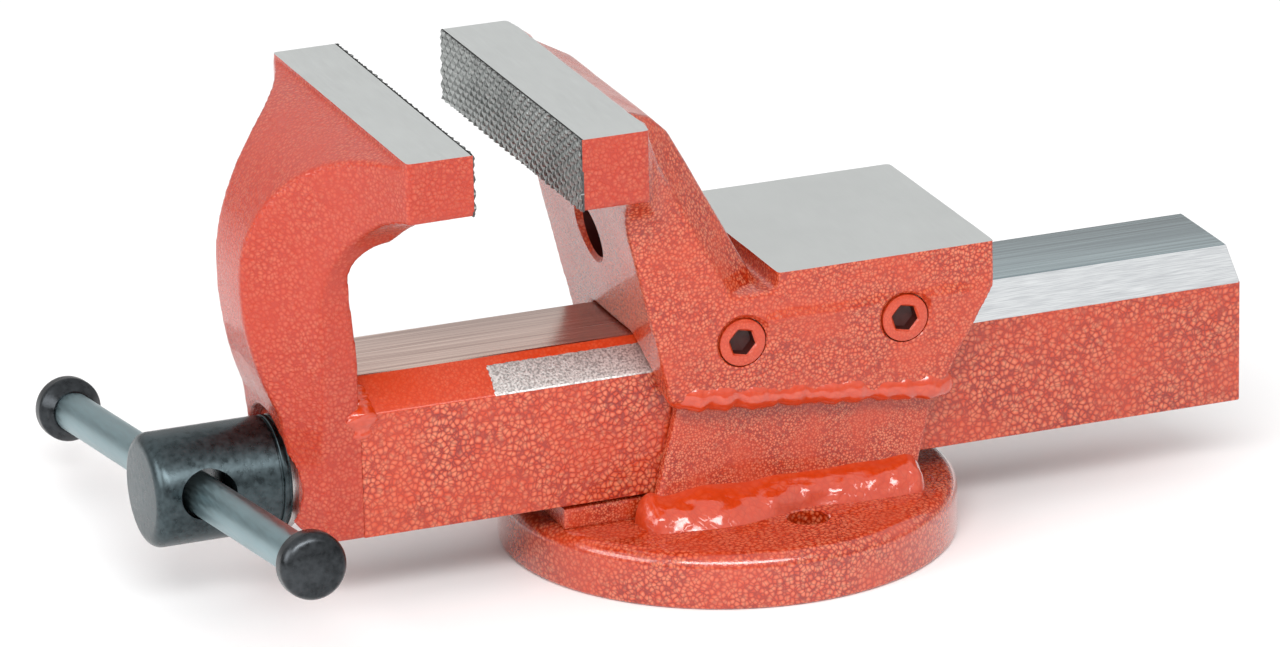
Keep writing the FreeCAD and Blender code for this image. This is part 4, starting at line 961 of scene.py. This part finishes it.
def make_head():
    """The spindle's head, with two thin rings at its rear end and a cross hole with eased edges."""
    rim, ring, slope, ease = 4.2 * MM, 0.8 * MM, 0.15 * MM, 0.2 * MM
    low = HEAD_RADIUS - ring
    rear = [(0, low), (-ring, low), (-ring - slope, HEAD_RADIUS - slope), (-ring - 2 * slope, HEAD_RADIUS),
            (-3 * ring + ease, HEAD_RADIUS), (-3 * ring, HEAD_RADIUS - ease), (-3 * ring, low),
            (-4 * ring, low), (-4 * ring, HEAD_RADIUS - ease), (-4 * ring - ease, HEAD_RADIUS)]
    front = arc(-HEAD_LENGTH + rim, HEAD_RADIUS - rim, rim, 90, 180, 12)
    profile = [(0, 0), *rear, *front, (-HEAD_LENGTH, 0)]
    seat = Vector((SEAT_X, 0, AXIS_Z))
    piece = solid("turned_head", add_lathe, profile, seat, X, segments=160)
    reach = HEAD_RADIUS + 3 * MM
    mouth = CROSS_HOLE_RADIUS + 2.6 * MM
    at_surface = HEAD_RADIUS - 1.6 * MM
    bore = [(-reach, 0), (-reach, mouth), (-at_surface, CROSS_HOLE_RADIUS),
            (at_surface, CROSS_HOLE_RADIUS), (reach, mouth), (reach, 0)]
    centre = Vector((HANDLE_CENTRE.x, 0, AXIS_Z))
    socket = rod(1 * MM, -14 * MM, SCREW_RADIUS)
    cut(piece, [solid("cross_cutter", add_lathe, bore, centre, HANDLE_AXIS, segments=96),
                solid("seat_cutter", add_lathe, socket, seat, X, segments=64)])
    shade(piece, 30)
    dress(piece, [BLACK])
    settle(piece, "spindle", "black_steel", "spindle_head")


def knob_profile():
    """Knob from its flat lip over a cone and a round crown to a shallow dome."""
    lip, cone, crown, dome = 0.95 * MM, 4 * MM, 3.5 * MM, 0.7 * MM
    shoulder, socket, ease = 2.2 * MM, 7 * MM, 0.4 * MM
    flat = KNOB_RADIUS - crown
    return [
        (socket, 0), (socket, BAR_RADIUS), (0, BAR_RADIUS), (0, BAR_RADIUS + lip - ease),
        (ease, BAR_RADIUS + lip), *arc(cone + 0.8 * MM, KNOB_RADIUS - shoulder, shoulder, 130, 90, 6),
        *arc(KNOB_LENGTH - crown - dome * 0.6, flat, crown, 90, 12, 10),
        (KNOB_LENGTH - dome * 0.35, flat * 0.6), (KNOB_LENGTH - dome * 0.1, 2 * MM),
        (KNOB_LENGTH - 0.02 * MM, 0)]


def make_handle():
    """The tommy bar and the knobs on its two ends."""
    half = HANDLE_HALF + BAR_IN_KNOB
    bar = solid("tommy_bar", add_lathe, rod(-half, half, BAR_RADIUS), HANDLE_CENTRE, HANDLE_AXIS, segments=72)
    shade(bar, 30)
    dress(bar, [BAR_STEEL])
    settle(bar, "handle", "black_steel", "handle_bar")
    for name, axis in (("far", HANDLE_AXIS), ("near", -HANDLE_AXIS)):
        origin = HANDLE_CENTRE + axis * HANDLE_HALF
        knob = solid("knob_" + name, add_lathe, knob_profile(), origin, axis, segments=96)
        shade(knob, 35)
        dress(knob, [KNOB_BLACK])
        settle(knob, "handle", "black_steel", "handle_knob_" + name)


def dress_hidden_nodes():
    """CAD nodes that stay as they are: the pieces inside and behind."""
    for names, material in (
            (("guide_gib_left", "guide_gib_right", "retaining_collar", "thrust_washer"), TURNED),
            (("head_pin", "collar_pin", "nut_screws"), BLACK),
            (("spindle_nut",), IRON)):
        for name in names:
            item = NODES[name]
            item.data.materials.clear()
            item.data.materials.append(material)


# Camera, lights and floor

CAMERA_AIM = Vector((-0.04004, -0.0306, 0.08311))
CAMERA_DISTANCE = 2.52859
CAMERA_AZIMUTH = -21.3
CAMERA_ELEVATION = 19.65
CAMERA_ROLL = -1.12
CAMERA_LENS = 233.36
SENSOR = 36.0
LIGHT_AIM = Vector((0, 0, 0.08))


def make_camera():
    """Long-lens camera that looks at the vise from the front left and a little above."""
    azimuth, elevation, roll = (math.radians(a) for a in (CAMERA_AZIMUTH, CAMERA_ELEVATION, CAMERA_ROLL))
    back = Vector((math.sin(azimuth) * math.cos(elevation), -math.cos(azimuth) * math.cos(elevation),
                   math.sin(elevation)))
    right = Vector((math.cos(azimuth), math.sin(azimuth), 0))
    up = back.cross(right)
    turned_right = right * math.cos(roll) + up * math.sin(roll)
    turned_up = up * math.cos(roll) - right * math.sin(roll)
    axes = Matrix((turned_right, turned_up, back)).transposed()
    data = bpy.data.cameras.new("camera")
    data.lens = CAMERA_LENS
    data.sensor_width = SENSOR
    camera = bpy.data.objects.new("camera", data)
    bpy.context.scene.collection.objects.link(camera)
    camera.matrix_world = Matrix.Translation(CAMERA_AIM + back * CAMERA_DISTANCE) @ axes.to_4x4()
    bpy.context.scene.camera = camera


def area_light(name, place, size, watts):
    """Rectangular light that is turned to the vise."""
    data = bpy.data.lights.new(name, "AREA")
    data.shape = "RECTANGLE"
    data.size, data.size_y = size
    data.energy = watts
    light = bpy.data.objects.new(name, data)
    bpy.context.scene.collection.objects.link(light)
    light.location = place
    light.rotation_euler = (LIGHT_AIM - Vector(place)).to_track_quat("-Z", "Y").to_euler()


def make_stage():
    """Pale floor, pale surroundings and soft lights."""
    floor = solid("floor", add_box, (-4, -4, -0.02), (4, 4, 0))
    material, _, shader = new_material("floor")
    shader.inputs["Base Color"].default_value = (0.93, 0.93, 0.93, 1)
    shader.inputs["Roughness"].default_value = 0.9
    floor.data.materials.append(material)
    world = bpy.data.worlds.new("world")
    bpy.context.scene.world = world
    world.use_nodes = True
    sky = world.node_tree
    background = sky.nodes["Background"]
    apart = sky.nodes.new("ShaderNodeSeparateXYZ")
    sky.links.new(node(sky, "TexCoord"), apart.inputs[0])
    height = node(sky, "MapRange", {"Value": apart.outputs[2], 1: -1.0, 2: 1.0, 3: 0.0, 4: 1.0})
    glow = ramp(sky, height, [(0.50, 0.35), (0.60, 0.50), (0.68, 0.80), (1.0, 0.85)])
    sky.links.new(glow, background.inputs["Color"])
    background.inputs["Strength"].default_value = 1.1
    area_light("left", (-1.4, -0.3, 0.7), (0.9, 0.7), 8)
    area_light("front", (-0.35, -1.1, 1.05), (1.3, 0.36), 16)
    bpy.context.scene.view_settings.view_transform = "Standard"


# The scene

make_camera()
make_stage()
make_fixed_jaw()
make_moving_jaw()
make_trough()
make_base_plate()
make_slide()
make_serration("fixed_teeth", "fixed_body", FIXED_FACE, -1, FIXED_JAW_FOOT, 1)
make_serration("moving_teeth", "moving_jaw_body", MOVING_FACE, 1, MOVING_JAW_FOOT, -1)
make_seam_beads()
make_base_beads()
make_slide_beads()
make_set_screws(-1, "gib_screws_right")
make_set_screws(1, "gib_screws_left")
make_screw()
make_head()
make_handle()
dress_hidden_nodes()
